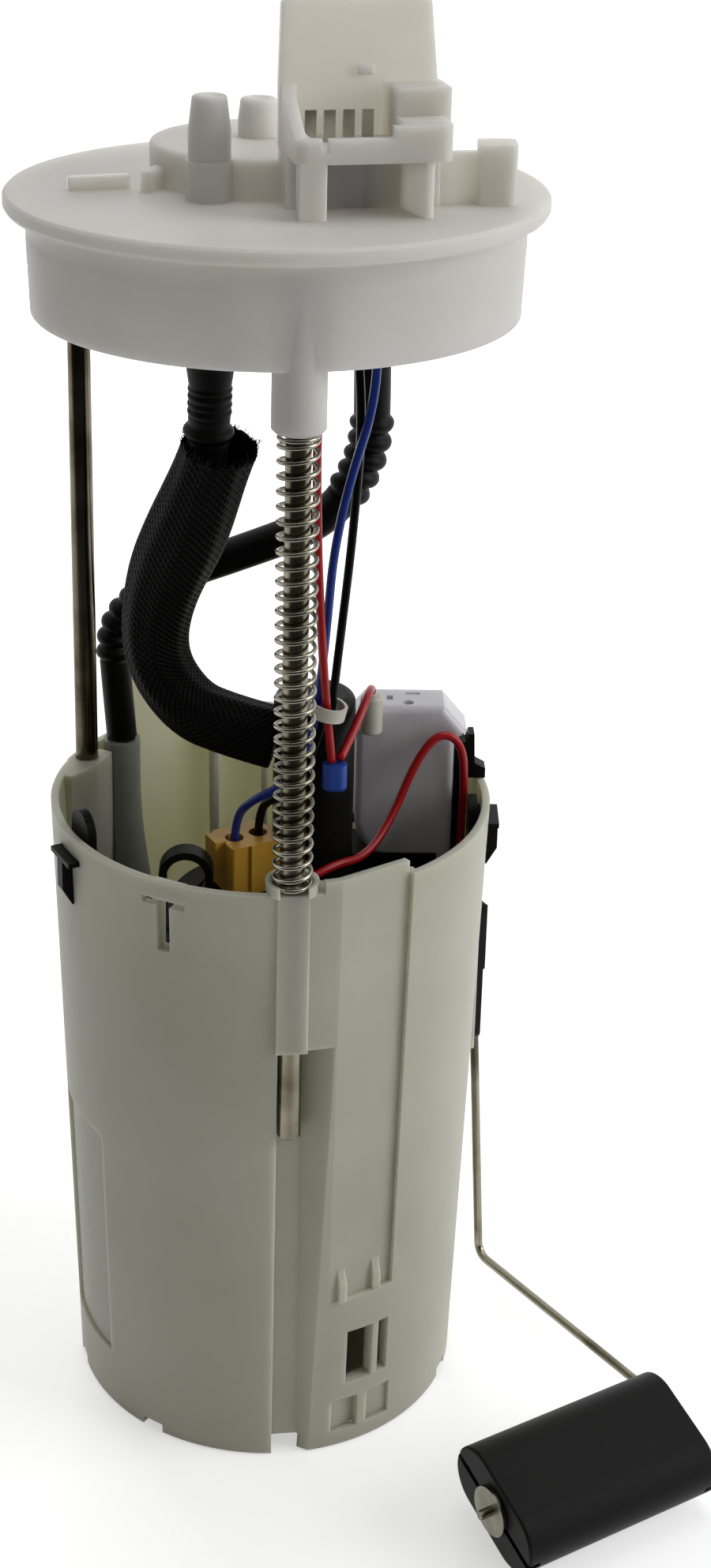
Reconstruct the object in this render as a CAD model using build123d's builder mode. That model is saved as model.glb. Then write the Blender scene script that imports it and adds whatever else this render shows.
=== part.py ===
"""In-tank fuel pump module: a sprung flange on two guide rods over a swirl-pot reservoir that
holds the electric pump, its carrier, the hoses, the wiring and a swinging level float.

Frame: millimetres, +Z up, origin at the centre of the reservoir's underside. -Y is the front,
where the sprung guide rod stands.
"""

import os
from math import atan2, cos, degrees, hypot, pi, radians, sin, tan

from build123d import *

os.makedirs("parts", exist_ok=True)

# ---------------------------------------------------------------- driving dimensions
# Reservoir: a drafted cup, open at the top
CUP_R_BOTTOM = 52.4
CUP_R_RIM = 57.3
RIM_Z = 171.0
CUP_WALL = 2.0
FLOOR_Z = 4.5
FLOOR_T = 2.0
FOOT_PAD_R = 9.0
BACK_WALL_Z = RIM_Z + 17.0
BACK_WALL_AZ = (118.0, 138.0)
STEP_RIM_Z = RIM_Z + 3.0
STEP_RIM_AZ = (283.7, 308.0)
T_SLOT_AZ = (-152.5, -117.0, -2.0)
HOOK_AZ = (-152.5, -2.0)
T_BAR_W = 12.0
T_BAR_H = 1.8
T_STEM_W = 3.6
T_TOP_Z = RIM_Z - 4.8
T_BOTTOM_Z = T_TOP_Z - 14.4
HOOK_OUT = 2.4
HOOK_LEAD = 5.0
SLOT_PAD_T = 2.4
SIDE_RECESS_AZ = (-171.0, -142.0)
SIDE_RECESS_Z = (17.0, 87.0)
RECESS_DEPTH = 1.0

# Flat panel with its ledge, clips and window, on the reservoir's front right
PANEL_AZ = -57.0
PANEL_HALF_ANGLE = 15.0
PANEL_RIGHT = 5.2
PANEL_Z = 48.0
PANEL_WINDOW_Z = (20.0, 37.0)
PANEL_WINDOW_Y = (-8.3, 4.6)
FOOT_RECESS_Z = (4.5, 15.0)

# Flange
FLANGE_R = 65.0
FLANGE_TOP_Z = 330.4
FLANGE_EDGE_T = 4.0
FLANGE_PLATE_T = 3.0
SKIRT_R = 59.2
SKIRT_BOTTOM_Z = FLANGE_TOP_Z - 28.7
SKIRT_WALL = 2.2
PAD_CENTRE = (-3.0, 11.0)
PAD_R = 27.8
PAD_H = 9.4
SUPPLY_PORT = (-15.6, -15.0)
RETURN_PORT = (-4.6, 15.0)
PORT_R = 5.0
PORT_ROOT_R = 5.5
PORT_BORE_R = 2.6
SUPPLY_PORT_TOP_Z = FLANGE_TOP_Z + 24.2
RETURN_PORT_TOP_Z = FLANGE_TOP_Z + 18.6
SUPPLY_NOSE_H = 8.0
RETURN_NOSE_H = 5.0
RETURN_SPIGOT = (24.0, 15.0)
SPIGOT_R = 4.4
SPIGOT_END_Z = 306.0

# Electrical socket on the flange, turned a little about the vertical
SOCKET_TURN = 10.0
SOCKET_U = (-2.4, 33.4)
SOCKET_W = (-38.6, -14.0)
SOCKET_FLOOR_Z = FLANGE_TOP_Z + 12.6
SOCKET_FLOOR_T = 2.6
SOCKET_FRONT_Z = SOCKET_FLOOR_Z + 5.6
SOCKET_RIGHT_Z = SOCKET_FLOOR_Z + 8.2
SOCKET_SIDE_Z = SOCKET_FLOOR_Z + 14.5
SOCKET_WALL = 2.6
SOCKET_CORNER_R = 2.6
SOCKET_STEP_W = -26.0
SOCKET_SHOULDER = 2.0
POCKET_W = 22.4
FRONT_NOTCH_W = 22.0
TUNNEL_BACK_W = -25.5
TUNNEL_U = (4.5, 27.1)
FIN_T = 1.8
TAB_U = (-2.7, 34.2)
TAB_H = 19.0
TAB_T = 3.0
TAB_TAPER = (0.5, 2.0)
TAB_TOP_Z = SOCKET_SIDE_Z + TAB_H
PIN_COUNT = 4
PIN_PITCH = 4.4
PIN_FIRST_U = 3.4
PIN_W = 2.6
PIN_T = 0.8
PIN_TOP_Z = SOCKET_FLOOR_Z + SOCKET_FLOOR_T + 7.0
PIN_BOTTOM_Z = FLANGE_TOP_Z - 9.4
PIN_ROW_W = -23.5

# Guide rods, their bosses and the compression spring
ROD_R = 3.0
ROD_CIRCLE_R = 53.48
ROD_AZ = (-84.1, 158.0)
ROD_BOTTOM_Z = 101.0
ROD_SEAT_Z = 325.0
ROD_RUNNING_GAP = 0.06
ROD_GUIDE_Z = 127.0
ROD_BOSS_R = 6.3
FRONT_BOSS_Z = 286.5
TRAVEL = 55.0
SPRING_WIRE_R = 0.55
SPRING_MEAN_R = 4.5
SPRING_COILS = 31
SPRING_GAP = 0.25

# Pump
PUMP_X = 0.0
PUMP_Y = -11.0
PUMP_R = 19.5
CASE_WALL = 1.1
CASE_Z = (30.0, 136.0)
PUMP_BOTTOM_Z = 22.0
PUMP_TOP_Z = 148.0
CAP_GAP = 0.1
OUTLET_OFFSET = (11.0, 2.0)
OUTLET_R = 4.4
OUTLET_BORE_R = 2.6
OUTLET_TOP_Z = PUMP_TOP_Z + 15.0
VALVE_SEAT_R = 1.5
VALVE_SEAT_Z = OUTLET_TOP_Z - 13.0
VALVE_H = 5.0
VALVE_GAP = 0.05
INLET_OFFSET = (-9.0, 0.0)
INLET_R = 4.6
INLET_BORE_R = 3.2
INLET_END_Z = 15.4
IMPELLER_R = 15.0
IMPELLER_T = 3.6
IMPELLER_Z = 31.0
VANE_COUNT = 24
SHAFT_R = 2.0
SHAFT_GAP = 0.05
SHAFT_Z = (26.5, 140.0)
ARMATURE_R = 13.2
ARMATURE_Z = (58.0, 110.0)
ARMATURE_SLOTS = 8
COMMUTATOR_R = 7.5
COMMUTATOR_Z = (114.0, 124.0)
MAGNET_GAP = 0.7
BRUSH = (4.6, 6.0, 7.0)

# Carrier that hangs the pump in the reservoir
DECK_R = 46.0
DECK_Z = PUMP_TOP_Z - 6.0
DECK_T = 3.0
ISOLATOR_T = 3.5
COLLAR_T = 2.4
COLLAR_Z = DECK_Z - 22.0
BASKET_Z = (19.8, 36.0)
BASKET_LIP = 2.0
FINGER_W = 11.0
FINGER_T = 2.2
FINGER_TOP_Z = (RIM_Z + 6.0, RIM_Z)
LOOP_X = -21.2
LOOP_Z = DECK_Z + 18.0
LOOP_R = 6.9
LOOP_T = 2.0
FIT_GAP = 0.25

# Outlet elbow, hoses, wires
ELBOW_R = 10.4
ELBOW_Z = (PUMP_TOP_Z + 0.6, PUMP_TOP_Z + 55.4)
HOSE_R = 5.8
SLEEVE_R = 8.4
SLEEVE_BORE_R = 6.1
RETURN_HOSE_R = 5.6
RETURN_TUBE_R = 5.0
RETURN_TUBE_BORE_R = 3.6
RETURN_TUBE_TOP_Z = 173.0
WIRE_R = 1.1

# Level sender on the outside of the wall
SENDER_AZ = 30.0
SENDER_FACE_R = 57.6
SENDER_PIVOT_Y = 4.0
SENDER_PIVOT_Z = 108.0
SENDER_FRAME_T = 2.6
SENDER_FRAME_SIZE = (30.0, 44.0)
SENDER_BOSS_H = 1.5
SENDER_GUARD_H = 0.7
HUB_T = 3.3
HUB_GAP = 0.3
ARM_R = 1.25
ARM_GAP = 0.05
ARM_BEND_R = 4.0
ARM_CLEAR = 0.2
ARM_PLANE_R = SENDER_FACE_R + SENDER_FRAME_T + SENDER_BOSS_H + HUB_GAP + HUB_T + ARM_CLEAR + ARM_BEND_R
ARM_KNEE = (-6.8, 3.9)
FLOAT_T = 104.8
FLOAT_Z = 14.0
FLOAT_LENGTH = 59.0
FLOAT_W = 34.0
FLOAT_H = 18.0
FLOAT_TILT = 20.0
FLOAT_GROOVE = (1.8, 3.5)

WIRE_RADII = {}


# ---------------------------------------------------------------- shared geometry
def cup_r(z):
    """Outer radius of the drafted reservoir wall at height z."""
    return CUP_R_BOTTOM + (CUP_R_RIM - CUP_R_BOTTOM) * z / RIM_Z


def radial_plane(az, r=0.0, z=0.0):
    """Horizontal plane at (r, az): local x points outwards, local y runs counter-clockwise."""
    c, s = cos(radians(az)), sin(radians(az))
    return Plane(origin=(r * c, r * s, z), x_dir=(c, s, 0), z_dir=(0, 0, 1))


def wall_plane(az, r):
    """Vertical plane facing outwards at radius r: local x runs counter-clockwise, local y up."""
    c, s = cos(radians(az)), sin(radians(az))
    return Plane(origin=(r * c, r * s, 0), x_dir=(-s, c, 0), z_dir=(c, s, 0))


def half_plane(az):
    """Vertical plane through the axis: local x is the radius, local y the height."""
    c, s = cos(radians(az)), sin(radians(az))
    return Plane(origin=(0, 0, 0), x_dir=(c, s, 0), z_dir=(s, -c, 0))


def polygon(*points):
    """A closed outline of straight sides, as a face of the sketch being built."""
    return Polygon(*points, align=None)


def cord_path(name, points):
    """Straight runs joined by tangent arcs, each as large as its two runs allow."""
    spots = [Vector(*p) for p in points]
    runs = [b - a for a, b in zip(spots, spots[1:])]
    radii = []
    for before, after in zip(runs, runs[1:]):
        half_turn = radians(before.get_angle(after)) / 2
        radii.append(0.45 * min(before.length, after.length) / tan(half_turn))
    WIRE_RADII[name] = [round(r, 1) for r in radii]
    return FilletPolyline(*points, radius=radii)


def start_plane(wire):
    """The plane across a path at its start."""
    return Plane(origin=wire @ 0, z_dir=wire % 0)


def write(piece, name):
    """Label a finished piece and write it to its own STEP file."""
    piece.part.label = name
    export_step(piece.part, f"parts/{name}.step")


# ---------------------------------------------------------------- reservoir
FLOOR_TOP = FLOOR_Z + FLOOR_T
ROD_HOLE_R = ROD_R + ROD_RUNNING_GAP
GROOVE_DEPTH = ROD_R + 0.4
GROOVE_SIDE = ROD_R + 0.35
BACKING = 1.7
GROOVE_RIDGE = (1.4, 11.2)
SLEEVE_OVER_ROD = 0.9

# The hollow of the cup, less everything that thickens the wall on its inside
with BuildPart() as cavity:
    with BuildSketch(Plane.XZ):
        polygon(
            (0, FLOOR_TOP),
            (cup_r(FLOOR_TOP) - CUP_WALL, FLOOR_TOP),
            (cup_r(BACK_WALL_Z + 10) - CUP_WALL, BACK_WALL_Z + 10),
            (0, BACK_WALL_Z + 10),
        )
    revolve(axis=Axis.Z)
    for az in ROD_AZ:
        with BuildSketch(radial_plane(az, ROD_CIRCLE_R, FLOOR_TOP)):
            polygon(
                (-GROOVE_DEPTH - BACKING, -GROOVE_SIDE - BACKING),
                (-GROOVE_DEPTH - BACKING, GROOVE_SIDE + 0.6),
                (GROOVE_RIDGE[0] - 3.4, GROOVE_RIDGE[1] + BACKING),
                (12, GROOVE_RIDGE[1] + BACKING),
                (12, -GROOVE_SIDE - BACKING),
            )
        extrude(amount=RIM_Z - FLOOR_TOP, mode=Mode.SUBTRACT)
    # Backing of the flat panel keeps the wall's thickness behind it
    panel_in = cos(radians(PANEL_HALF_ANGLE))
    with BuildSketch(radial_plane(PANEL_AZ, z=FLOOR_TOP)):
        with Locations((cup_r(FLOOR_TOP) * panel_in - CUP_WALL + 10, -4)):
            Rectangle(20, 22)
    with BuildSketch(radial_plane(PANEL_AZ, z=STEP_RIM_Z)):
        with Locations((cup_r(STEP_RIM_Z) * panel_in - CUP_WALL + 10, -4)):
            Rectangle(20, 22)
    loft(mode=Mode.SUBTRACT)
    # The wall is thicker behind the stem of the spare T slot
    with BuildSketch(radial_plane(T_SLOT_AZ[1], cup_r(T_BOTTOM_Z) - CUP_WALL - SLOT_PAD_T, T_BOTTOM_Z - 4)):
        with Locations((6, 0)):
            Rectangle(12, T_STEM_W + 5)
    extrude(amount=RIM_Z - 1.5 - T_BOTTOM_Z + 4, mode=Mode.SUBTRACT)
    # Shallow strengthening ribs down the back
    for rib_az in (60.0, 76.0, 92.0, 108.0):
        with BuildSketch(radial_plane(rib_az, cup_r(0) - CUP_WALL, FLOOR_TOP)):
            with Locations((4, 0)):
                Rectangle(9.6, 1.6)
        extrude(amount=RIM_Z - 4 - FLOOR_TOP, mode=Mode.SUBTRACT)

with BuildPart() as reservoir:
    with BuildSketch(Plane.XZ):
        polygon(
            (0, 0),
            (FOOT_PAD_R, 0),
            (FOOT_PAD_R, FLOOR_Z),
            (cup_r(FLOOR_Z) - CUP_WALL, FLOOR_Z),
            (cup_r(0) - CUP_WALL, 0),
            (cup_r(0), 0),
            (cup_r(BACK_WALL_Z), BACK_WALL_Z),
            (0, BACK_WALL_Z),
        )
    revolve(axis=Axis.Z)
    # Foot ribs carry the floor off the bottom of the tank
    with BuildSketch(Plane.XY):
        with PolarLocations((FOOT_PAD_R + cup_r(0) - CUP_WALL) / 2, 4, start_angle=50):
            Rectangle(cup_r(0) - CUP_WALL - FOOT_PAD_R + 1, 2.0)
    extrude(amount=FLOOR_Z)
    # Lands over the two rod guides and the flat pad behind the level sender
    for az in ROD_AZ:
        with BuildSketch(radial_plane(az, ROD_CIRCLE_R, ROD_GUIDE_Z)):
            Rectangle(2 * (ROD_HOLE_R + SLEEVE_OVER_ROD), 2 * (ROD_HOLE_R + SLEEVE_OVER_ROD))
        extrude(amount=RIM_Z - ROD_GUIDE_Z)
    with BuildSketch(radial_plane(SENDER_AZ, SENDER_FACE_R - 6, 84)):
        with Locations((3, 0)):
            Rectangle(6, 32)
    extrude(amount=48)
    add(cavity.part, mode=Mode.SUBTRACT)
    # The rim is cut to its steps
    for start, end, low in (
        (BACK_WALL_AZ[1], STEP_RIM_AZ[0], RIM_Z),
        (STEP_RIM_AZ[0], STEP_RIM_AZ[1], STEP_RIM_Z),
        (STEP_RIM_AZ[1], BACK_WALL_AZ[0] + 360, RIM_Z),
    ):
        with BuildSketch(half_plane(start)):
            polygon((38, low), (70, low), (70, BACK_WALL_Z + 12), (38, BACK_WALL_Z + 12))
        revolve(axis=Axis.Z, revolution_arc=end - start, mode=Mode.SUBTRACT)
    # Rod guides: a bore through the closed part, an open groove below it
    for az in ROD_AZ:
        with BuildSketch(radial_plane(az, ROD_CIRCLE_R, RIM_Z + 5)):
            Circle(ROD_HOLE_R)
        extrude(amount=-(RIM_Z + 5 - ROD_GUIDE_Z + 1), mode=Mode.SUBTRACT)
        with BuildSketch(radial_plane(az, ROD_CIRCLE_R, -1)):
            polygon(
                (-GROOVE_DEPTH, -GROOVE_SIDE),
                (-GROOVE_DEPTH, GROOVE_SIDE),
                GROOVE_RIDGE,
                (12, GROOVE_RIDGE[1] + 1.5),
                (12, -GROOVE_SIDE),
            )
        extrude(amount=ROD_GUIDE_Z + 1, mode=Mode.SUBTRACT)
    # Spring seat: two low ears hold the last coil
    with BuildSketch(radial_plane(ROD_AZ[0], ROD_CIRCLE_R, RIM_Z)):
        Circle(SPRING_MEAN_R + SPRING_WIRE_R + 1.5)
        Circle(SPRING_MEAN_R + SPRING_WIRE_R + SPRING_GAP, mode=Mode.SUBTRACT)
        Rectangle(20, 7, mode=Mode.SUBTRACT)
    extrude(amount=2.6)
    # Flat panel on the front right, its ledge left standing below it
    for z_low, z_high, y_low, y_high, sink in (
        (PANEL_Z, STEP_RIM_Z + 4, -16.0, PANEL_RIGHT, 0.0),
        (FOOT_RECESS_Z[0], FOOT_RECESS_Z[1], -12.0, -4.2, -0.6),
        (FOOT_RECESS_Z[0], FOOT_RECESS_Z[1], -1.6, 6.0, 0.4),
    ):
        middle, width = (y_low + y_high) / 2, y_high - y_low
        with BuildSketch(radial_plane(PANEL_AZ, z=z_low)):
            with Locations((cup_r(z_low) * panel_in + sink + 10, middle)):
                Rectangle(20, width)
        with BuildSketch(radial_plane(PANEL_AZ, z=z_high)):
            with Locations((cup_r(z_high) * panel_in + sink + 10, middle)):
                Rectangle(20, width)
        loft(mode=Mode.SUBTRACT)
    for clip_y in (-10.4, 0.2):
        with BuildSketch(half_plane(PANEL_AZ).offset(-clip_y)):
            polygon(
                (cup_r(PANEL_Z) * panel_in - 0.5, PANEL_Z - 0.5),
                (cup_r(PANEL_Z) * panel_in + 1.6, PANEL_Z - 0.5),
                (cup_r(PANEL_Z) * panel_in + 1.6, PANEL_Z + 5),
                (cup_r(PANEL_Z + 10) * panel_in - 0.2, PANEL_Z + 10),
            )
        extrude(amount=1.1, both=True)
    # Window under the ledge, with its upright bar
    with BuildSketch(wall_plane(PANEL_AZ, CUP_R_BOTTOM - 8)):
        with Locations((sum(PANEL_WINDOW_Y) / 2, sum(PANEL_WINDOW_Z) / 2)):
            Rectangle(PANEL_WINDOW_Y[1] - PANEL_WINDOW_Y[0], PANEL_WINDOW_Z[1] - PANEL_WINDOW_Z[0])
        with Locations((0.4, sum(PANEL_WINDOW_Z) / 2)):
            Rectangle(1.8, 40, mode=Mode.SUBTRACT)
    extrude(amount=20, mode=Mode.SUBTRACT)
    # T slots for the carrier's hooks
    for az in T_SLOT_AZ:
        with BuildSketch(wall_plane(az, CUP_R_RIM - 7)):
            with Locations((0, T_TOP_Z - T_BAR_H / 2)):
                Rectangle(T_BAR_W, T_BAR_H)
            with Locations((0, (T_TOP_Z + T_BOTTOM_Z) / 2)):
                Rectangle(T_STEM_W, T_TOP_Z - T_BOTTOM_Z)
        extrude(amount=14, mode=Mode.SUBTRACT)
    # Shallow recess down the left side
    with BuildSketch(half_plane(SIDE_RECESS_AZ[0])):
        low, high = SIDE_RECESS_Z
        polygon(
            (cup_r(low) - RECESS_DEPTH, low),
            (70, low),
            (70, high),
            (cup_r(high) - RECESS_DEPTH, high),
        )
    revolve(axis=Axis.Z, revolution_arc=SIDE_RECESS_AZ[1] - SIDE_RECESS_AZ[0], mode=Mode.SUBTRACT)
    # Notches in the bottom edge let fuel in under the floor
    for notch_az in (-125.0, -20.0, 60.0, 120.0, 195.0):
        with BuildSketch(wall_plane(notch_az, CUP_R_BOTTOM - 8)):
            with Locations((0, 0)):
                Rectangle(6.5, 5.0)
        extrude(amount=14, mode=Mode.SUBTRACT)
    # Foot valve seat and jet pump inlet in the floor
    FOOT_VALVE = (27.0, 22.0)
    JET_INLET = (-22.0, 15.0)
    with BuildSketch(Plane.XY.offset(FLOOR_Z - 1)):
        with Locations(FOOT_VALVE):
            Circle(1.9)
            with PolarLocations(5.2, 4):
                Circle(1.8)
        with Locations(JET_INLET):
            Circle(2.5)
    extrude(amount=FLOOR_T + 2, mode=Mode.SUBTRACT)
write(reservoir, "reservoir")

# ---------------------------------------------------------------- flange
FLANGE_UNDER_Z = FLANGE_TOP_Z - FLANGE_EDGE_T
PLATE_UNDER_Z = FLANGE_TOP_Z - FLANGE_PLATE_T
FLARE_H = 7.0
SEAT_IN_R = SKIRT_R + 3.0
rod_spots = [(ROD_CIRCLE_R * cos(radians(az)), ROD_CIRCLE_R * sin(radians(az))) for az in ROD_AZ]
socket_plane = Plane(
    origin=(0, 0, 0),
    x_dir=(cos(radians(SOCKET_TURN)), sin(radians(SOCKET_TURN)), 0),
    z_dir=(0, 0, 1),
)
socket_side_plane = Plane(
    origin=socket_plane.from_local_coords(Vector(SOCKET_U[0] - 1, 0, 0)),
    x_dir=socket_plane.y_dir,
    z_dir=socket_plane.x_dir,
)
tab_plane = Plane(
    origin=socket_plane.from_local_coords(Vector(0, SOCKET_W[1], 0)),
    x_dir=socket_plane.x_dir,
    z_dir=-socket_plane.y_dir,
)
socket_mid_u = sum(SOCKET_U) / 2
socket_width = SOCKET_U[1] - SOCKET_U[0]
socket_depth = SOCKET_W[1] - SOCKET_W[0]
pin_spots = [(PIN_FIRST_U + i * PIN_PITCH, PIN_ROW_W) for i in range(PIN_COUNT)]

with BuildPart() as flange:
    with BuildSketch(Plane.XZ):
        with BuildLine():
            Polyline(
                (0, PLATE_UNDER_Z),
                (SKIRT_R - SKIRT_WALL, PLATE_UNDER_Z),
                (SKIRT_R - SKIRT_WALL, SKIRT_BOTTOM_Z),
                (SKIRT_R, SKIRT_BOTTOM_Z),
                (SKIRT_R + 0.6, FLANGE_UNDER_Z - FLARE_H),
            )
            ThreePointArc(
                (SKIRT_R + 0.6, FLANGE_UNDER_Z - FLARE_H),
                (SKIRT_R + 1.4, FLANGE_UNDER_Z - 2.2),
                (SEAT_IN_R, FLANGE_UNDER_Z),
            )
            Polyline(
                (SEAT_IN_R, FLANGE_UNDER_Z),
                (FLANGE_R - 0.6, FLANGE_UNDER_Z),
                (FLANGE_R, FLANGE_UNDER_Z + 1),
                (FLANGE_R, FLANGE_TOP_Z - 0.8),
                (FLANGE_R - 0.8, FLANGE_TOP_Z),
                (0, FLANGE_TOP_Z),
                (0, PLATE_UNDER_Z),
            )
        make_face()
    revolve(axis=Axis.Z)
    # Raised pad around the return port
    with BuildSketch(Plane.XY.offset(FLANGE_TOP_Z)):
        with Locations(PAD_CENTRE):
            Circle(PAD_R)
    extrude(amount=PAD_H)
    pad_top_edge = flange.edges().filter_by(GeomType.CIRCLE).group_by(Axis.Z)[-1]
    fillet(pad_top_edge, 1.2)
    with BuildSketch(Plane.XY.offset(PLATE_UNDER_Z - 1)):
        with Locations(PAD_CENTRE):
            Circle(PAD_R - 3)
    extrude(amount=PAD_H + 0.5, mode=Mode.SUBTRACT)
    # Ports: a root up to the pad, a straight pipe, then a tapered nose
    for (x, y), top, nose in (
        (SUPPLY_PORT, SUPPLY_PORT_TOP_Z, SUPPLY_NOSE_H),
        (RETURN_PORT, RETURN_PORT_TOP_Z, RETURN_NOSE_H),
    ):
        with BuildSketch(Plane.XY.offset(PLATE_UNDER_Z)):
            with Locations((x, y)):
                Circle(PORT_R)
        extrude(amount=top - nose - PLATE_UNDER_Z)
        with BuildSketch(Plane.XY.offset(top - nose)):
            with Locations((x, y)):
                Circle(PORT_R)
        extrude(amount=nose, taper=7)
    port_ends = flange.faces().filter_by(GeomType.PLANE).sort_by(Axis.Z)[-2:]
    fillet(port_ends.edges(), 0.9)
    with BuildSketch(Plane.XY.offset(PLATE_UNDER_Z)):
        with Locations(SUPPLY_PORT):
            Circle(PORT_ROOT_R)
    extrude(amount=FLANGE_TOP_Z + PAD_H - PLATE_UNDER_Z)
    # Spigots under the plate, and the duct from the return port to its spigot
    for x, y in (SUPPLY_PORT, RETURN_SPIGOT):
        with BuildSketch(Plane.XY.offset(SPIGOT_END_Z)):
            with Locations((x, y)):
                Circle(SPIGOT_R)
        extrude(amount=FLANGE_TOP_Z - SPIGOT_END_Z)
    duct_length = RETURN_SPIGOT[0] - RETURN_PORT[0]
    duct_middle = ((RETURN_SPIGOT[0] + RETURN_PORT[0]) / 2, RETURN_PORT[1])
    with BuildSketch(Plane.XY.offset(PLATE_UNDER_Z - 9)):
        with Locations(duct_middle):
            SlotCenterToCenter(duct_length, 2 * (PORT_BORE_R + 2.6))
    extrude(amount=11 + PAD_H - 2)
    # Rod bosses
    for (x, y), low in zip(rod_spots, (FRONT_BOSS_Z, SKIRT_BOTTOM_Z)):
        with BuildSketch(Plane.XY.offset(low)):
            with Locations((x, y)):
                Circle(ROD_BOSS_R)
        extrude(amount=FLANGE_TOP_Z - 1 - low)
    boss_foot = flange.edges().filter_by(GeomType.CIRCLE).group_by(Axis.Z)[0]
    chamfer(boss_foot, 0.8)
    # Socket: a pocket for the plug on legs, its left wall sloping down to a low front
    with BuildSketch(socket_plane.offset(SOCKET_FLOOR_Z)):
        with Locations((socket_mid_u, sum(SOCKET_W) / 2)):
            Rectangle(socket_width, socket_depth)
    extrude(amount=SOCKET_SIDE_Z - SOCKET_FLOOR_Z)
    socket_corners = flange.edges().filter_by(Axis.Z).filter_by(
        lambda e: abs(e.length - (SOCKET_SIDE_Z - SOCKET_FLOOR_Z)) < 0.01
    )
    fillet(socket_corners, SOCKET_CORNER_R)
    with BuildSketch(socket_plane.offset(SOCKET_FLOOR_Z + SOCKET_FLOOR_T)):
        with Locations((SOCKET_U[0] + SOCKET_WALL + POCKET_W / 2, sum(SOCKET_W) / 2)):
            RectangleRounded(POCKET_W, socket_depth - 2 * SOCKET_WALL, SOCKET_CORNER_R)
    extrude(amount=SOCKET_SIDE_Z, mode=Mode.SUBTRACT)
    with BuildSketch(socket_side_plane):
        polygon(
            (SOCKET_W[0] - 1, SOCKET_FRONT_Z),
            (SOCKET_W[0] + SOCKET_WALL + 0.5, SOCKET_FRONT_Z),
            (SOCKET_W[1] - TAB_T - 1, SOCKET_SIDE_Z + 0.1),
            (SOCKET_W[1] - TAB_T - 1, SOCKET_SIDE_Z + 5),
            (SOCKET_W[0] - 1, SOCKET_SIDE_Z + 5),
        )
    extrude(amount=FRONT_NOTCH_W + 1, mode=Mode.SUBTRACT)
    with BuildSketch(socket_plane.offset(SOCKET_RIGHT_Z)):
        with Locations((SOCKET_U[1] - 10, (SOCKET_W[0] + SOCKET_STEP_W) / 2 - 1)):
            Rectangle(24, SOCKET_STEP_W - SOCKET_W[0] + 2)
    extrude(amount=SOCKET_SIDE_Z, mode=Mode.SUBTRACT)
    with BuildSketch(socket_plane.offset(SOCKET_FLOOR_Z + 4)):
        with Locations((SOCKET_U[1] - 1 + SOCKET_SHOULDER / 2, (SOCKET_W[1] + SOCKET_STEP_W) / 2)):
            Rectangle(SOCKET_SHOULDER + 2, SOCKET_W[1] - SOCKET_STEP_W)
    extrude(amount=SOCKET_SIDE_Z - SOCKET_FLOOR_Z - 4)
    with BuildSketch(socket_plane.offset(SOCKET_FLOOR_Z + SOCKET_FLOOR_T)):
        with Locations((SOCKET_U[0] + 6.5, SOCKET_W[0])):
            Rectangle(1.6, 2 * SOCKET_WALL + 1)
    extrude(amount=SOCKET_SIDE_Z, mode=Mode.SUBTRACT)
    # Legs: a post at the left front, the block behind the tunnel and a slanted fin at its right
    with BuildSketch(socket_plane.offset(FLANGE_TOP_Z - 0.5)):
        with Locations(((SOCKET_U[0] + 0.8 + TUNNEL_U[0]) / 2, SOCKET_W[0] + 2.5)):
            Rectangle(TUNNEL_U[0] - SOCKET_U[0] - 0.8, 5)
        with Locations((socket_mid_u, (TUNNEL_BACK_W + SOCKET_W[1]) / 2)):
            Rectangle(socket_width, SOCKET_W[1] - TUNNEL_BACK_W)
        polygon(
            (TUNNEL_U[1], SOCKET_W[0]),
            (TUNNEL_U[1] + FIN_T, SOCKET_W[0]),
            (TUNNEL_U[1] + FIN_T - 3.1, TUNNEL_BACK_W + 1),
            (TUNNEL_U[1] - 3.1, TUNNEL_BACK_W + 1),
        )
    extrude(amount=SOCKET_FLOOR_Z - FLANGE_TOP_Z + 1)
    # Tall tab, narrowing upwards, with a small latch nib on its face
    with BuildSketch(tab_plane) as tab_outline:
        polygon(
            (TAB_U[0], SOCKET_FLOOR_Z),
            (TAB_U[1], SOCKET_FLOOR_Z),
            (TAB_U[1], SOCKET_SIDE_Z),
            (TAB_U[1] - TAB_TAPER[1], TAB_TOP_Z),
            (TAB_U[0] + TAB_TAPER[0], TAB_TOP_Z),
            (TAB_U[0], SOCKET_SIDE_Z),
        )
        fillet(tab_outline.vertices().group_by(Axis.Y)[-1], 1.6)
    extrude(amount=TAB_T)
    with BuildSketch(socket_plane.offset(SOCKET_SIDE_Z + 2.0)):
        with Locations((socket_mid_u + 1.7, SOCKET_W[1] - TAB_T - 0.4)):
            Rectangle(3.6, 2.0)
    extrude(amount=2.0)
    # Clip tower and low ribs on the right, strengthening ramps on the left
    with BuildSketch(Plane.XY.offset(FLANGE_TOP_Z - 0.5)):
        with Locations((50.6, -15.0)):
            RectangleRounded(9.0, 9.0, 1.5)
    extrude(amount=14.6)
    for (x0, y0), (x1, y1), height in (
        ((36.0, -17.0), (47.0, -15.0), 12.0),
        ((-49.0, -6.0), (-35.0, -2.0), 3.0),
        ((-31.0, -8.0), (-27.0, 0.0), 5.0),
    ):
        length, turn = hypot(x1 - x0, y1 - y0), degrees(atan2(y1 - y0, x1 - x0))
        with BuildSketch(Plane.XY.offset(FLANGE_TOP_Z - 0.5)):
            with Locations(Location(((x0 + x1) / 2, (y0 + y1) / 2, 0), (0, 0, turn))):
                Rectangle(length, 3.0)
        extrude(amount=height + 0.5)
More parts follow.
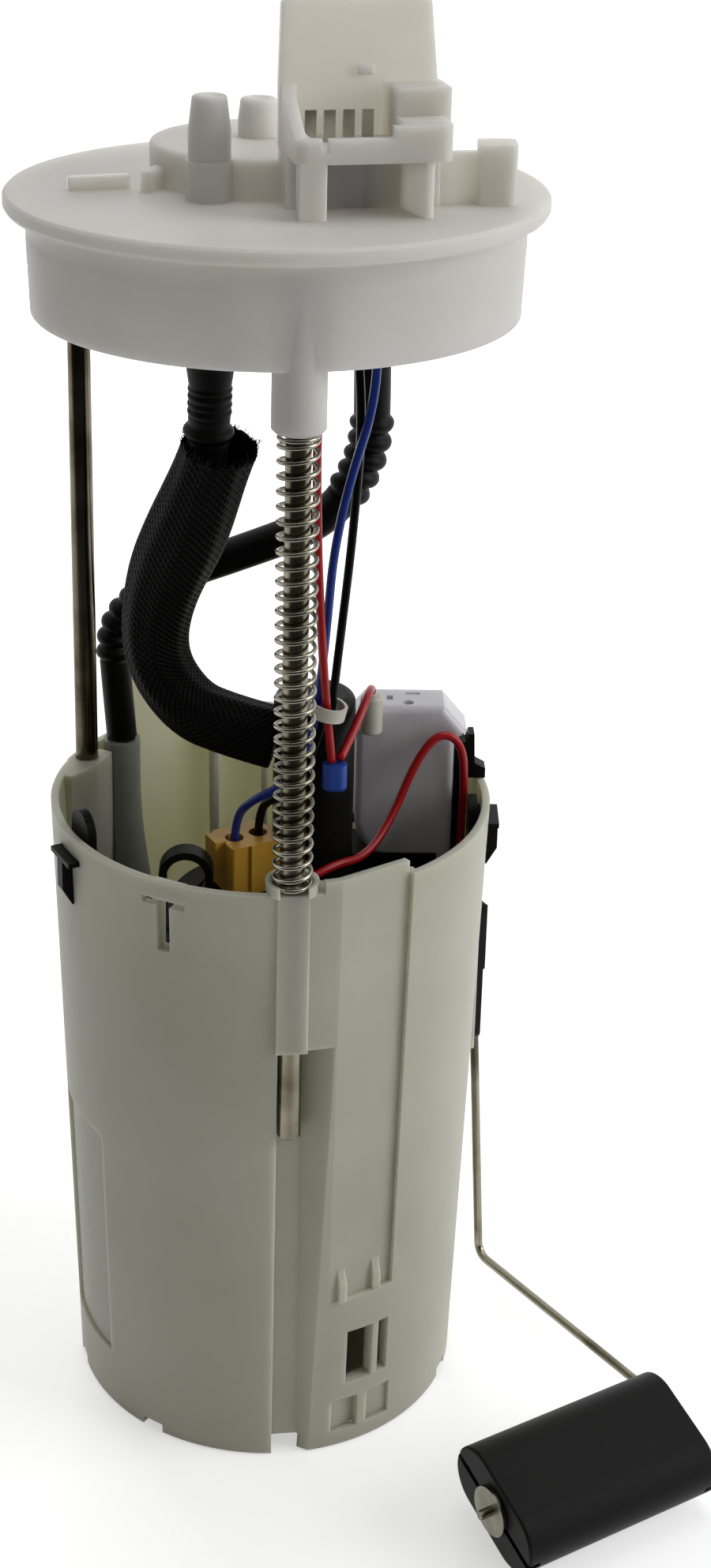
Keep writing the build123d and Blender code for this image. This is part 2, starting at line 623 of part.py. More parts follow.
    # Bores: ports, duct, rods and pin slots
    with BuildSketch(Plane.XY.offset(SPIGOT_END_Z - 1)):
        with Locations(SUPPLY_PORT):
            Circle(PORT_BORE_R)
    extrude(amount=SUPPLY_PORT_TOP_Z - SPIGOT_END_Z + 2, mode=Mode.SUBTRACT)
    with BuildSketch(Plane.XY.offset(PLATE_UNDER_Z - 6.4)):
        with Locations(RETURN_PORT):
            Circle(PORT_BORE_R)
    extrude(amount=RETURN_PORT_TOP_Z - PLATE_UNDER_Z + 8, mode=Mode.SUBTRACT)
    with BuildSketch(Plane.XY.offset(SPIGOT_END_Z - 1)):
        with Locations(RETURN_SPIGOT):
            Circle(PORT_BORE_R)
    extrude(amount=PLATE_UNDER_Z - 6.4 + 2 * PORT_BORE_R - SPIGOT_END_Z + 1, mode=Mode.SUBTRACT)
    with BuildSketch(Plane.XY.offset(PLATE_UNDER_Z - 6.4)):
        with Locations(duct_middle):
            SlotCenterToCenter(duct_length, 2 * PORT_BORE_R)
    extrude(amount=2 * PORT_BORE_R, mode=Mode.SUBTRACT)
    with BuildSketch(Plane.XY.offset(FRONT_BOSS_Z - 1)):
        with Locations(*rod_spots):
            Circle(ROD_R)
    extrude(amount=ROD_SEAT_Z - FRONT_BOSS_Z + 1, mode=Mode.SUBTRACT)
    with BuildSketch(socket_plane.offset(PIN_BOTTOM_Z - 1)):
        with Locations(*pin_spots):
            Rectangle(PIN_W + 0.1, PIN_T + 0.1)
    extrude(amount=SOCKET_FLOOR_Z + SOCKET_FLOOR_T + 1 - PIN_BOTTOM_Z, mode=Mode.SUBTRACT)
write(flange, "flange")

with BuildPart() as flange_terminals:
    with BuildSketch(socket_plane.offset(PIN_BOTTOM_Z)):
        with Locations(*pin_spots):
            Rectangle(PIN_W, PIN_T)
    extrude(amount=PIN_TOP_Z - PIN_BOTTOM_Z)
write(flange_terminals, "flange_terminals")

for rod_name, (x, y) in zip(("front_guide_rod", "left_guide_rod"), rod_spots):
    with BuildPart() as guide_rod:
        with BuildSketch(Plane.XY.offset(ROD_BOTTOM_Z)):
            with Locations((x, y)):
                Circle(ROD_R)
        extrude(amount=ROD_SEAT_Z - ROD_BOTTOM_Z)
        chamfer(guide_rod.edges().group_by(Axis.Z)[0], 0.6)
    write(guide_rod, rod_name)

spring_low = RIM_Z + SPRING_WIRE_R + SPRING_GAP
spring_high = FRONT_BOSS_Z - SPRING_WIRE_R - SPRING_GAP
spring_pitch = (spring_high - spring_low) / SPRING_COILS
with BuildPart() as spring:
    with BuildLine() as spring_line:
        Helix(
            pitch=spring_pitch,
            height=spring_high - spring_low,
            radius=SPRING_MEAN_R,
            center=(*rod_spots[0], spring_low),
        )
    with BuildSketch(start_plane(spring_line.line)):
        Circle(SPRING_WIRE_R)
    sweep(path=spring_line.line, is_frenet=True)
write(spring, "spring")

# ---------------------------------------------------------------- pump
pump_axis = Axis((PUMP_X, PUMP_Y, 0), (0, 0, 1))


def pump_plane(z):
    """Horizontal plane centred on the pump."""
    return Plane(origin=(PUMP_X, PUMP_Y, z), z_dir=(0, 0, 1))


case_bore = PUMP_R - CASE_WALL
with BuildPart() as pump_case:
    with BuildSketch(pump_plane(CASE_Z[0])):
        Circle(PUMP_R)
        Circle(case_bore, mode=Mode.SUBTRACT)
    extrude(amount=CASE_Z[1] - CASE_Z[0])
    crimped = pump_case.edges().filter_by(GeomType.CIRCLE).sort_by(SortBy.RADIUS)[-2:]
    fillet(crimped, 0.7)
write(pump_case, "pump_case")

chamber_top = IMPELLER_Z + IMPELLER_T + CAP_GAP
with BuildPart() as pump_inlet_cap:
    with BuildSketch(pump_plane(PUMP_BOTTOM_Z)):
        Circle(PUMP_R)
    extrude(amount=CASE_Z[0] - CAP_GAP - PUMP_BOTTOM_Z)
    fillet(pump_inlet_cap.edges().group_by(Axis.Z)[0], 1.5)
    with BuildSketch(pump_plane(CASE_Z[0] - 1)):
        Circle(case_bore - CAP_GAP)
    extrude(amount=chamber_top - CASE_Z[0] + 1)
    with BuildSketch(pump_plane(IMPELLER_Z - CAP_GAP)):
        Circle(IMPELLER_R + 0.3)
    extrude(amount=IMPELLER_T + 1, mode=Mode.SUBTRACT)
    with BuildSketch(pump_plane(INLET_END_Z)):
        with Locations(INLET_OFFSET):
            Circle(INLET_R)
    extrude(amount=PUMP_BOTTOM_Z - INLET_END_Z + 1)
    with BuildSketch(pump_plane(INLET_END_Z - 1)):
        with Locations(INLET_OFFSET):
            Circle(INLET_BORE_R)
    extrude(amount=IMPELLER_Z - INLET_END_Z + 1, mode=Mode.SUBTRACT)
    with BuildSketch(pump_plane(SHAFT_Z[0] - 0.5)):
        Circle(SHAFT_R + SHAFT_GAP)
    extrude(amount=8, mode=Mode.SUBTRACT)
write(pump_inlet_cap, "pump_inlet_cap")

with BuildPart() as pump_cover_plate:
    with BuildSketch(pump_plane(chamber_top + 0.05)):
        Circle(case_bore - CAP_GAP)
        Circle(SHAFT_R + SHAFT_GAP, mode=Mode.SUBTRACT)
        with Locations((10.5, 0)):
            Circle(2.6, mode=Mode.SUBTRACT)
    extrude(amount=4.0)
write(pump_cover_plate, "pump_cover_plate")

with BuildPart() as pump_impeller:
    with BuildSketch(pump_plane(IMPELLER_Z)):
        Circle(IMPELLER_R)
        Circle(SHAFT_R, mode=Mode.SUBTRACT)
        with PolarLocations(IMPELLER_R - 2.2, VANE_COUNT):
            Rectangle(3.0, 2.0, mode=Mode.SUBTRACT)
    extrude(amount=IMPELLER_T)
write(pump_impeller, "pump_impeller")

with BuildPart() as pump_shaft:
    with BuildSketch(pump_plane(SHAFT_Z[0])):
        Circle(SHAFT_R)
    extrude(amount=SHAFT_Z[1] - SHAFT_Z[0])
write(pump_shaft, "pump_shaft")

with BuildPart() as pump_armature:
    with BuildSketch(pump_plane(ARMATURE_Z[0])):
        Circle(ARMATURE_R)
        Circle(SHAFT_R, mode=Mode.SUBTRACT)
        with PolarLocations(ARMATURE_R - 1.5, ARMATURE_SLOTS):
            Rectangle(4.0, 1.6, mode=Mode.SUBTRACT)
    extrude(amount=ARMATURE_Z[1] - ARMATURE_Z[0])
write(pump_armature, "pump_armature")

with BuildPart() as pump_commutator:
    with BuildSketch(pump_plane(COMMUTATOR_Z[0])):
        Circle(COMMUTATOR_R)
        Circle(SHAFT_R, mode=Mode.SUBTRACT)
        with PolarLocations(COMMUTATOR_R - 0.6, ARMATURE_SLOTS):
            Rectangle(1.4, 0.6, mode=Mode.SUBTRACT)
    extrude(amount=COMMUTATOR_Z[1] - COMMUTATOR_Z[0])
write(pump_commutator, "pump_commutator")

magnet_in = ARMATURE_R + MAGNET_GAP
with BuildPart() as pump_magnets:
    with BuildSketch(pump_plane(ARMATURE_Z[0] - 2)):
        Circle(case_bore - CAP_GAP)
        Circle(magnet_in, mode=Mode.SUBTRACT)
        Rectangle(2 * PUMP_R, 9, mode=Mode.SUBTRACT)
    extrude(amount=ARMATURE_Z[1] - ARMATURE_Z[0] + 4)
write(pump_magnets, "pump_magnets")

with BuildPart() as pump_brushes:
    with BuildSketch(pump_plane(sum(COMMUTATOR_Z) / 2 - BRUSH[0] / 2)):
        with PolarLocations(COMMUTATOR_R + 0.2 + BRUSH[2] / 2, 2):
            Rectangle(BRUSH[2], BRUSH[1])
    extrude(amount=BRUSH[0])
write(pump_brushes, "pump_brushes")

terminal_turn = 28.0
CONNECTOR_CENTRE = (-6.1, -15.5)
CONNECTOR_SIZE = (14.0, 12.0, 14.0)
CONNECTOR_Z = 152.0
connector_plane = Plane(
    origin=(*CONNECTOR_CENTRE, 0),
    x_dir=(cos(radians(terminal_turn)), sin(radians(terminal_turn)), 0),
    z_dir=(0, 0, 1),
)
terminal_spots = [(-3.4, 0.0), (3.4, 0.0)]
brush_holder_z = COMMUTATOR_Z[0] + 1
with BuildPart() as pump_outlet_cap:
    with BuildSketch(pump_plane(COMMUTATOR_Z[1] + 2)):
        Circle(case_bore - CAP_GAP)
    extrude(amount=CASE_Z[1] - COMMUTATOR_Z[1] - 2)
    with BuildSketch(pump_plane(CASE_Z[1])):
        Circle(case_bore - 0.4)
    extrude(amount=PUMP_TOP_Z - CASE_Z[1])
    fillet(pump_outlet_cap.edges().group_by(Axis.Z)[-1], 1.2)
    # Brush holders hang from the cap on either side of the commutator
    with BuildSketch(pump_plane(brush_holder_z)):
        with PolarLocations(COMMUTATOR_R + 5.6, 2):
            Rectangle(BRUSH[2] - 1.4, BRUSH[1] + 4)
            Rectangle(BRUSH[2] + 4, BRUSH[1] + 0.2, mode=Mode.SUBTRACT)
    extrude(amount=COMMUTATOR_Z[1] + 3 - brush_holder_z)
    with BuildSketch(pump_plane(PUMP_TOP_Z - 1)):
        with Locations(OUTLET_OFFSET):
            Circle(OUTLET_R)
    extrude(amount=OUTLET_TOP_Z - PUMP_TOP_Z + 1)
    with BuildSketch(connector_plane.offset(PUMP_TOP_Z - 1)):
        Rectangle(CONNECTOR_SIZE[0], CONNECTOR_SIZE[1] - 1)
    extrude(amount=CONNECTOR_Z - PUMP_TOP_Z + 1)
    with BuildSketch(pump_plane(COMMUTATOR_Z[1])):
        with Locations(OUTLET_OFFSET):
            Circle(VALVE_SEAT_R)
    extrude(amount=OUTLET_TOP_Z - COMMUTATOR_Z[1], mode=Mode.SUBTRACT)
    with BuildSketch(pump_plane(VALVE_SEAT_Z)):
        with Locations(OUTLET_OFFSET):
            Circle(OUTLET_BORE_R)
    extrude(amount=OUTLET_TOP_Z - VALVE_SEAT_Z, mode=Mode.SUBTRACT)
    with BuildSketch(pump_plane(COMMUTATOR_Z[1])):
        Circle(SHAFT_R + SHAFT_GAP)
    extrude(amount=SHAFT_Z[1] + 0.5 - COMMUTATOR_Z[1], mode=Mode.SUBTRACT)
    with BuildSketch(connector_plane.offset(COMMUTATOR_Z[1] + 10)):
        with Locations(*terminal_spots):
            Rectangle(0.9, 4.9)
    extrude(amount=40, mode=Mode.SUBTRACT)
write(pump_outlet_cap, "pump_outlet_cap")

with BuildPart() as pump_terminals:
    with BuildSketch(connector_plane.offset(COMMUTATOR_Z[1] + 10)):
        with Locations(*terminal_spots):
            Rectangle(0.8, 4.8)
    extrude(amount=CONNECTOR_Z + 7 - COMMUTATOR_Z[1] - 10)
write(pump_terminals, "pump_terminals")

with BuildPart() as outlet_check_valve:
    with BuildSketch(pump_plane(VALVE_SEAT_Z + 0.05)):
        with Locations(OUTLET_OFFSET):
            Circle(OUTLET_BORE_R - VALVE_GAP)
    extrude(amount=VALVE_H)
    chamfer(outlet_check_valve.edges().group_by(Axis.Z)[-1], 0.6)
write(outlet_check_valve, "outlet_check_valve")

with BuildPart() as pump_connector:
    with BuildSketch(connector_plane.offset(CONNECTOR_Z + 0.05)):
        Rectangle(CONNECTOR_SIZE[0], CONNECTOR_SIZE[1])
    extrude(amount=CONNECTOR_SIZE[2])
    fillet(pump_connector.edges().filter_by(Axis.Z), 0.8)
    # Latch shoulder on the left end and a raised rib on the front
    with BuildSketch(connector_plane.offset(CONNECTOR_Z + 7)):
        with Locations((-CONNECTOR_SIZE[0] / 2 - 1.0, 1.5)):
            Rectangle(3.0, 6.0)
    extrude(amount=7.4)
    with BuildSketch(connector_plane.offset(CONNECTOR_Z + 1)):
        with Locations((-1.2, -CONNECTOR_SIZE[1] / 2)):
            Rectangle(1.2, 1.4)
    extrude(amount=CONNECTOR_SIZE[2] - 1)
    with BuildSketch(connector_plane.offset(CONNECTOR_Z + 9)):
        with Locations(*terminal_spots):
            Circle(2.4)
    extrude(amount=10, mode=Mode.SUBTRACT)
    with BuildSketch(connector_plane.offset(CONNECTOR_Z - 1)):
        with Locations(*terminal_spots):
            Rectangle(1.0, 5.0)
    extrude(amount=12, mode=Mode.SUBTRACT)
write(pump_connector, "pump_connector")

# ---------------------------------------------------------------- carrier and isolators
isolator_r = PUMP_R + ISOLATOR_T
for ring_name, low, high in (
    ("upper_isolator", COLLAR_Z, DECK_Z - 0.05),
    ("lower_isolator", CASE_Z[0] + 0.5, BASKET_Z[1]),
):
    with BuildPart() as isolator:
        with BuildSketch(pump_plane(low)):
            Circle(isolator_r)
            Circle(PUMP_R + 0.05, mode=Mode.SUBTRACT)
        extrude(amount=high - low)
        with BuildSketch(pump_plane(low - 0.5)):
            with PolarLocations(isolator_r, 12):
                Circle(1.2)
        extrude(amount=high - low + 1, mode=Mode.SUBTRACT)
    write(isolator, ring_name)

SUPPRESSOR_X = (22.4, 48.4)
SUPPRESSOR_Y = (7.2, 19.0)
SUPPRESSOR_Z = (DECK_Z + DECK_T + 1.3, RIM_Z + 21.0)
SUPPRESSOR_ROUND = 13.5
CRADLE_WALL = 1.5
CRADLE_RIGHT = 46.0
CRADLE_H = 4.6
RAIL_T = 2.7
RAIL_Y = (8.4, 16.4)
RAIL_HOOK_X = 56.8


def suppressor_outline(grow):
    """Side outline of the suppressor in the X-Z plane, grown by a clearance."""
    x0, x1 = SUPPRESSOR_X[0] - grow, SUPPRESSOR_X[1] + grow
    z0, z1 = SUPPRESSOR_Z[0] - grow, SUPPRESSOR_Z[1] + grow
    Polyline(
        (x0 + SUPPRESSOR_ROUND, z0),
        (x1, z0),
        (x1, z1 - 9.8),
        (x1 + 3.2, z1 - 7.4),
        (x1 - 3.0, z1),
        (x0 + 2.5, z1),
        (x0, z1 - 3),
        (x0, z0 + SUPPRESSOR_ROUND),
    )
    JernArc((x0, z0 + SUPPRESSOR_ROUND), (0, -1), SUPPRESSOR_ROUND, 90)


with BuildPart() as suppressor_housing:
    with BuildSketch(Plane.XZ.offset(-SUPPRESSOR_Y[0])):
        with BuildLine():
            suppressor_outline(0)
        make_face()
    extrude(amount=-(SUPPRESSOR_Y[1] - SUPPRESSOR_Y[0]))
    front_edges = suppressor_housing.faces().sort_by(Axis.Y)[0].edges()
    fillet(front_edges, 2.0)
    # Vent and terminal holes in the top
    with BuildSketch(Plane.XY.offset(SUPPRESSOR_Z[1] - 4)):
        with Locations((SUPPRESSOR_X[0] + 13.6, SUPPRESSOR_Y[0] + 3.4)):
            Circle(1.5)
        with Locations((SUPPRESSOR_X[0] + 8.8, SUPPRESSOR_Y[0] + 6.4)):
            Rectangle(1.6, 2.6)
        with Locations((SUPPRESSOR_X[0] + 15.0, SUPPRESSOR_Y[1] - 2.6)):
            Rectangle(4.0, 1.4)
    extrude(amount=5, mode=Mode.SUBTRACT)
write(suppressor_housing, "suppressor_housing")

collar_in = isolator_r + 0.05
collar_out = collar_in + COLLAR_T
with BuildPart() as pump_carrier:
    with BuildSketch(Plane.XY.offset(DECK_Z)):
        Circle(DECK_R)
        # Clear of the return tube and open for filling at the back
        with Locations((-40.6, 27.6)):
            Circle(RETURN_TUBE_R + 2.6, mode=Mode.SUBTRACT)
        with Locations((-6, 33), (20, 32)):
            Circle(8, mode=Mode.SUBTRACT)
        with Locations((-32, -6)):
            Circle(7, mode=Mode.SUBTRACT)
    extrude(amount=DECK_T)
    with BuildSketch(pump_plane(COLLAR_Z)):
        Circle(collar_out)
    extrude(amount=DECK_Z - COLLAR_Z)
    with BuildSketch(pump_plane(BASKET_Z[0])):
        Circle(collar_out)
    extrude(amount=BASKET_Z[1] - BASKET_Z[0])
    with BuildSketch(pump_plane(BASKET_Z[1] - 1)):
        with PolarLocations((collar_in + collar_out) / 2, 3, start_angle=30):
            Rectangle(COLLAR_T, 9)
    extrude(amount=COLLAR_Z - BASKET_Z[1] + 2)
    with BuildSketch(pump_plane(BASKET_Z[0] + BASKET_LIP)):
        Circle(collar_in)
    extrude(amount=DECK_Z - BASKET_Z[0] - BASKET_LIP, mode=Mode.SUBTRACT)
    with BuildSketch(pump_plane(DECK_Z - 1)):
        Circle(PUMP_R + 0.6)
    extrude(amount=DECK_T + 2, mode=Mode.SUBTRACT)
    with BuildSketch(pump_plane(BASKET_Z[0] - 1)):
        Circle(PUMP_R - 4)
    extrude(amount=5, mode=Mode.SUBTRACT)
    # Fingers up the wall, each with a T hook through its slot
    for az, top in zip(HOOK_AZ, FINGER_TOP_Z):
        finger_r = cup_r(DECK_Z) - CUP_WALL - 0.5
        with BuildSketch(radial_plane(az, z=DECK_Z)):
            with Locations(((finger_r - 0.8 + DECK_R - 8) / 2, 0)):
                Rectangle(finger_r - 0.8 - DECK_R + 8, FINGER_W + 8)
        extrude(amount=DECK_T)
        with BuildSketch(wall_plane(az, finger_r - FINGER_T)):
            with Locations((0, (DECK_Z + top - FINGER_W / 2) / 2)):
                Rectangle(FINGER_W, top - FINGER_W / 2 - DECK_Z)
            with Locations((0, top - FINGER_W / 2)):
                Circle(FINGER_W / 2)
        extrude(amount=FINGER_T)
        with BuildSketch(wall_plane(az, finger_r - FINGER_T / 2)):
            with Locations((0, T_TOP_Z - T_BAR_H / 2)):
                Rectangle(T_BAR_W - 2 * FIT_GAP, T_BAR_H - 2 * FIT_GAP)
            with Locations((0, (T_TOP_Z + T_BOTTOM_Z) / 2)):
                Rectangle(T_STEM_W - 2 * FIT_GAP, T_TOP_Z - T_BOTTOM_Z - 2 * FIT_GAP)
        extrude(amount=CUP_R_RIM + HOOK_OUT - finger_r + FINGER_T / 2)
        with BuildSketch(half_plane(az)):
            polygon(
                (cup_r(T_BOTTOM_Z) + 0.2, T_BOTTOM_Z),
                (CUP_R_RIM + HOOK_OUT + 1, T_BOTTOM_Z - 1),
                (CUP_R_RIM + HOOK_OUT + 1, T_BOTTOM_Z + HOOK_LEAD),
                (CUP_R_RIM + HOOK_OUT, T_BOTTOM_Z + HOOK_LEAD),
            )
        extrude(amount=T_STEM_W, both=True, mode=Mode.SUBTRACT)
    # Lifting loop: a round arch on two legs
    loop_base = DECK_Z + DECK_T - 0.5
    with BuildSketch(Plane.XZ.offset(25.0)):
        with Locations((LOOP_X, 0)):
            with Locations((0, LOOP_Z)):
                Circle(LOOP_R)
            with Locations((0, (loop_base + LOOP_Z) / 2)):
                Rectangle(2 * LOOP_R, LOOP_Z - loop_base)
            with Locations((0, LOOP_Z)):
                Circle(LOOP_R - LOOP_T, mode=Mode.SUBTRACT)
            with Locations((0, (DECK_Z + DECK_T + 0.6 + LOOP_Z) / 2)):
                Rectangle(2 * (LOOP_R - LOOP_T), LOOP_Z - DECK_Z - DECK_T - 0.6, mode=Mode.SUBTRACT)
    extrude(amount=2.6, both=True)
    # Cradle under the suppressor
    with BuildSketch(Plane.XZ.offset(-SUPPRESSOR_Y[0] + CRADLE_WALL)):
        with Locations(((SUPPRESSOR_X[0] + CRADLE_RIGHT) / 2 - CRADLE_WALL, DECK_Z + (DECK_T + CRADLE_H) / 2)):
            Rectangle(CRADLE_RIGHT - SUPPRESSOR_X[0], DECK_T + CRADLE_H)
    extrude(amount=-(SUPPRESSOR_Y[1] - SUPPRESSOR_Y[0] + 2 * CRADLE_WALL))
    with BuildSketch(Plane.XZ.offset(-SUPPRESSOR_Y[0] + FIT_GAP)):
        with BuildLine():
            suppressor_outline(FIT_GAP)
        make_face()
    extrude(amount=-(SUPPRESSOR_Y[1] - SUPPRESSOR_Y[0] + 2 * FIT_GAP), mode=Mode.SUBTRACT)
    # Rail up the suppressor's right side, hooked over the rim, with a thin fin above
    with BuildSketch(Plane.XZ.offset(-RAIL_Y[0])):
        rail_x = SUPPRESSOR_X[1] + FIT_GAP
        polygon(
            (rail_x - 6, DECK_Z),
            (rail_x - 6, DECK_Z + DECK_T),
            (rail_x, DECK_Z + DECK_T),
            (rail_x, SUPPRESSOR_Z[1] - 10.4),
            (rail_x + RAIL_T, SUPPRESSOR_Z[1] - 10.4),
            (rail_x + RAIL_T, DECK_Z),
        )
    extrude(amount=-(RAIL_Y[1] - RAIL_Y[0]))
    with BuildSketch(Plane.XZ.offset(-RAIL_Y[0])):
        polygon(
            (rail_x + RAIL_T - 0.5, RIM_Z + 0.3),
            (RAIL_HOOK_X, RIM_Z + 0.3),
            (RAIL_HOOK_X, RIM_Z + 3.0),
            (rail_x + RAIL_T + 2.6, RIM_Z + 4.6),
            (rail_x + RAIL_T + 2.2, SUPPRESSOR_Z[1] - 8.0),
            (rail_x + RAIL_T + 0.8, SUPPRESSOR_Z[1] - 8.0),
            (rail_x + RAIL_T - 0.5, SUPPRESSOR_Z[1] - 12.0),
        )
    extrude(amount=-4.6)
write(pump_carrier, "pump_carrier")

GROMMET_X = 26.0
GROMMET_Y = 3.9
with BuildPart() as suppressor_grommet:
    with BuildSketch(Plane.XY.offset(186.5)):
        with Locations((GROMMET_X, GROMMET_Y)):
            Circle(3.0)
    extrude(amount=10.5)
    fillet(suppressor_grommet.edges().group_by(Axis.Z)[-1], 1.0)
    fillet(suppressor_grommet.edges().group_by(Axis.Z)[0], 0.6)
write(suppressor_grommet, "suppressor_grommet")

# ---------------------------------------------------------------- inlet side
with BuildPart() as inlet_strainer:
    with BuildSketch(pump_plane(FLOOR_TOP + 0.5)):
        with Locations((-3, 0)):
            RectangleRounded(44, 26, 9)
    extrude(amount=INLET_END_Z - 0.2 - FLOOR_TOP - 0.5)
    fillet(inlet_strainer.edges().group_by(Axis.Z)[-1], 2.5)
    fillet(inlet_strainer.edges().group_by(Axis.Z)[0], 2.5)
    with BuildSketch(pump_plane(INLET_END_Z - 1)):
        with Locations(INLET_OFFSET):
            Circle(INLET_R + 1.6)
            Circle(INLET_R + 0.1, mode=Mode.SUBTRACT)
    extrude(amount=PUMP_BOTTOM_Z - 0.3 - INLET_END_Z + 1)
    with BuildSketch(pump_plane(FLOOR_TOP + 3)):
        with Locations(INLET_OFFSET):
            Circle(INLET_BORE_R)
    extrude(amount=INLET_END_Z - FLOOR_TOP, mode=Mode.SUBTRACT)
write(inlet_strainer, "inlet_strainer")

FOOT_VALVE_R = 8.4
with BuildPart() as foot_valve:
    with BuildSketch(Plane.XY.offset(FLOOR_TOP + 0.05)):
        with Locations(FOOT_VALVE):
            Circle(FOOT_VALVE_R)
    extrude(amount=1.6, taper=35)
    with BuildSketch(Plane.XY.offset(FLOOR_Z - 2.0)):
        with Locations(FOOT_VALVE):
            Circle(1.8)
    extrude(amount=FLOOR_T + 3.0)
    with BuildSketch(Plane.XY.offset(FLOOR_Z - 2.0)):
        with Locations(FOOT_VALVE):
            Circle(2.4)
    extrude(amount=1.9)
    fillet(foot_valve.edges().group_by(Axis.Z)[0], 0.8)
write(foot_valve, "foot_valve")

JET_START = (-34.5, 22.8)
RETURN_TUBE_POINTS = (
    (-40.6, 27.6, RETURN_TUBE_TOP_Z),
    (-40.6, 27.6, 150.0),
    (*JET_START, 108.0),
    (*JET_START, 17.6),
)
with BuildPart() as return_tube:
    with BuildLine() as tube_line:
        cord_path("return_tube", RETURN_TUBE_POINTS)
    with BuildSketch(start_plane(tube_line.line)):
        Circle(RETURN_TUBE_R)
        Circle(RETURN_TUBE_BORE_R, mode=Mode.SUBTRACT)
    sweep(path=tube_line.line)
write(return_tube, "return_tube")

jet_turn = degrees(atan2(JET_INLET[1] - JET_START[1], JET_INLET[0] - JET_START[0]))
jet_plane = Plane(
    origin=(*JET_START, 0),
    x_dir=(cos(radians(jet_turn)), sin(radians(jet_turn)), 0),
    z_dir=(0, 0, 1),
)
jet_reach = hypot(JET_INLET[0] - JET_START[0], JET_INLET[1] - JET_START[1])
with BuildPart() as jet_pump_body:
    with BuildSketch(jet_plane.offset(FLOOR_TOP)):
        with Locations((jet_reach / 2, 0)):
            SlotCenterToCenter(jet_reach, 11.4)
    extrude(amount=10.9)
    with BuildSketch(jet_plane.offset(FLOOR_TOP + 4)):
        Circle(RETURN_TUBE_BORE_R)
    extrude(amount=20, mode=Mode.SUBTRACT)
    with BuildSketch(jet_plane.offset(FLOOR_TOP - 1)):
        with Locations((jet_reach, 0)):
            Circle(2.6)
    extrude(amount=8, mode=Mode.SUBTRACT)
    jet_axis_plane = Plane(
        origin=jet_plane.from_local_coords(Vector(0, 0, FLOOR_TOP + 5.6)),
        x_dir=(0, 0, 1),
        z_dir=jet_plane.x_dir,
    )
    with BuildSketch(jet_axis_plane):
        Circle(2.2)
    extrude(amount=jet_reach + 12, mode=Mode.SUBTRACT)
write(jet_pump_body, "jet_pump_body")

with BuildPart() as jet_nozzle:
    with BuildSketch(jet_axis_plane.offset(4.2)):
        Circle(2.15)
        Circle(0.6, mode=Mode.SUBTRACT)
    extrude(amount=6)
write(jet_nozzle, "jet_nozzle")

# ---------------------------------------------------------------- outlet elbow and hoses
outlet_x = PUMP_X + OUTLET_OFFSET[0]
outlet_y = PUMP_Y + OUTLET_OFFSET[1]
elbow_plane = Plane(origin=(outlet_x, outlet_y, 0), z_dir=(0, 0, 1))
HOSE_ENTRY_Z = 190.2
HOSE_ENTRY_X = outlet_x - ELBOW_R + 0.9
hose_heading = Vector(1.0, -0.17, -0.13).normalized()
with BuildPart() as outlet_elbow:
    with BuildSketch(elbow_plane.offset(ELBOW_Z[0])):
        Circle(ELBOW_R)
    extrude(amount=ELBOW_Z[1] - ELBOW_Z[0])
    fillet(outlet_elbow.edges().group_by(Axis.Z)[-1], 2.4)
    with BuildSketch(elbow_plane.offset(ELBOW_Z[0] - 1)):
        Circle(OUTLET_R + 0.1)
    extrude(amount=OUTLET_TOP_Z + 1.2 - ELBOW_Z[0], mode=Mode.SUBTRACT)
    with BuildSketch(elbow_plane.offset(OUTLET_TOP_Z + 1)):
        Circle(VALVE_SEAT_R)
    extrude(amount=4, mode=Mode.SUBTRACT)
    with BuildSketch(elbow_plane.offset(OUTLET_TOP_Z + 4)):
        Circle(OUTLET_R - 1.2)
    extrude(amount=HOSE_ENTRY_Z + 1 - OUTLET_TOP_Z, mode=Mode.SUBTRACT)
    entry = Plane(origin=(HOSE_ENTRY_X, outlet_y + 0.6, HOSE_ENTRY_Z), z_dir=hose_heading)
    with BuildSketch(entry.offset(-6)):
        Circle(SLEEVE_R + 0.4)
    extrude(amount=6.6, mode=Mode.SUBTRACT)
    with BuildSketch(entry):
        Circle(OUTLET_R - 1.2)
    extrude(amount=9, mode=Mode.SUBTRACT)
write(outlet_elbow, "outlet_elbow")

SUPPLY_ROUTE = (
    (-15.6, -15.0, SPIGOT_END_Z - 0.3),
    (-15.4, -14.6, 276.0),
    (-19.2, -7.4, 250.5),
    (-28.4, -1.8, 229.0),
    (-30.6, 0.6, 209.0),
    (-21.5, -2.2, 195.4),
    (-10.0, -6.0, 192.4),
    (HOSE_ENTRY_X - 0.3, outlet_y + 0.65, HOSE_ENTRY_Z + 0.04),
)
RETURN_ROUTE = (
    (24.0, 15.0, SPIGOT_END_Z - 0.3),
    (24.6, 15.2, 279.0),
    (26.0, 16.6, 257.0),
    (14.5, 18.0, 240.0),
    (-7.0, 22.6, 229.6),
    (-27.5, 26.6, 220.6),
    (-43.0, 28.6, 207.0),
    (-41.8, 27.9, 189.5),
    (-40.6, 27.6, RETURN_TUBE_TOP_Z + 0.7),
)


def cord(name, route, radius, bore=0.0):
    """A round cord or hose along its route, as one swept solid."""
    with BuildPart() as piece:
        with BuildLine() as line:
            cord_path(name, route)
        with BuildSketch(start_plane(line.line)):
            Circle(radius)
            if bore:
                Circle(bore, mode=Mode.SUBTRACT)
        sweep(path=line.line)
    write(piece, name)
    ring = pi * (radius**2 - bore**2)
    print(f"{name}: volume {piece.part.volume:.0f}, section x length {ring * line.wire().length:.0f}")
    return piece


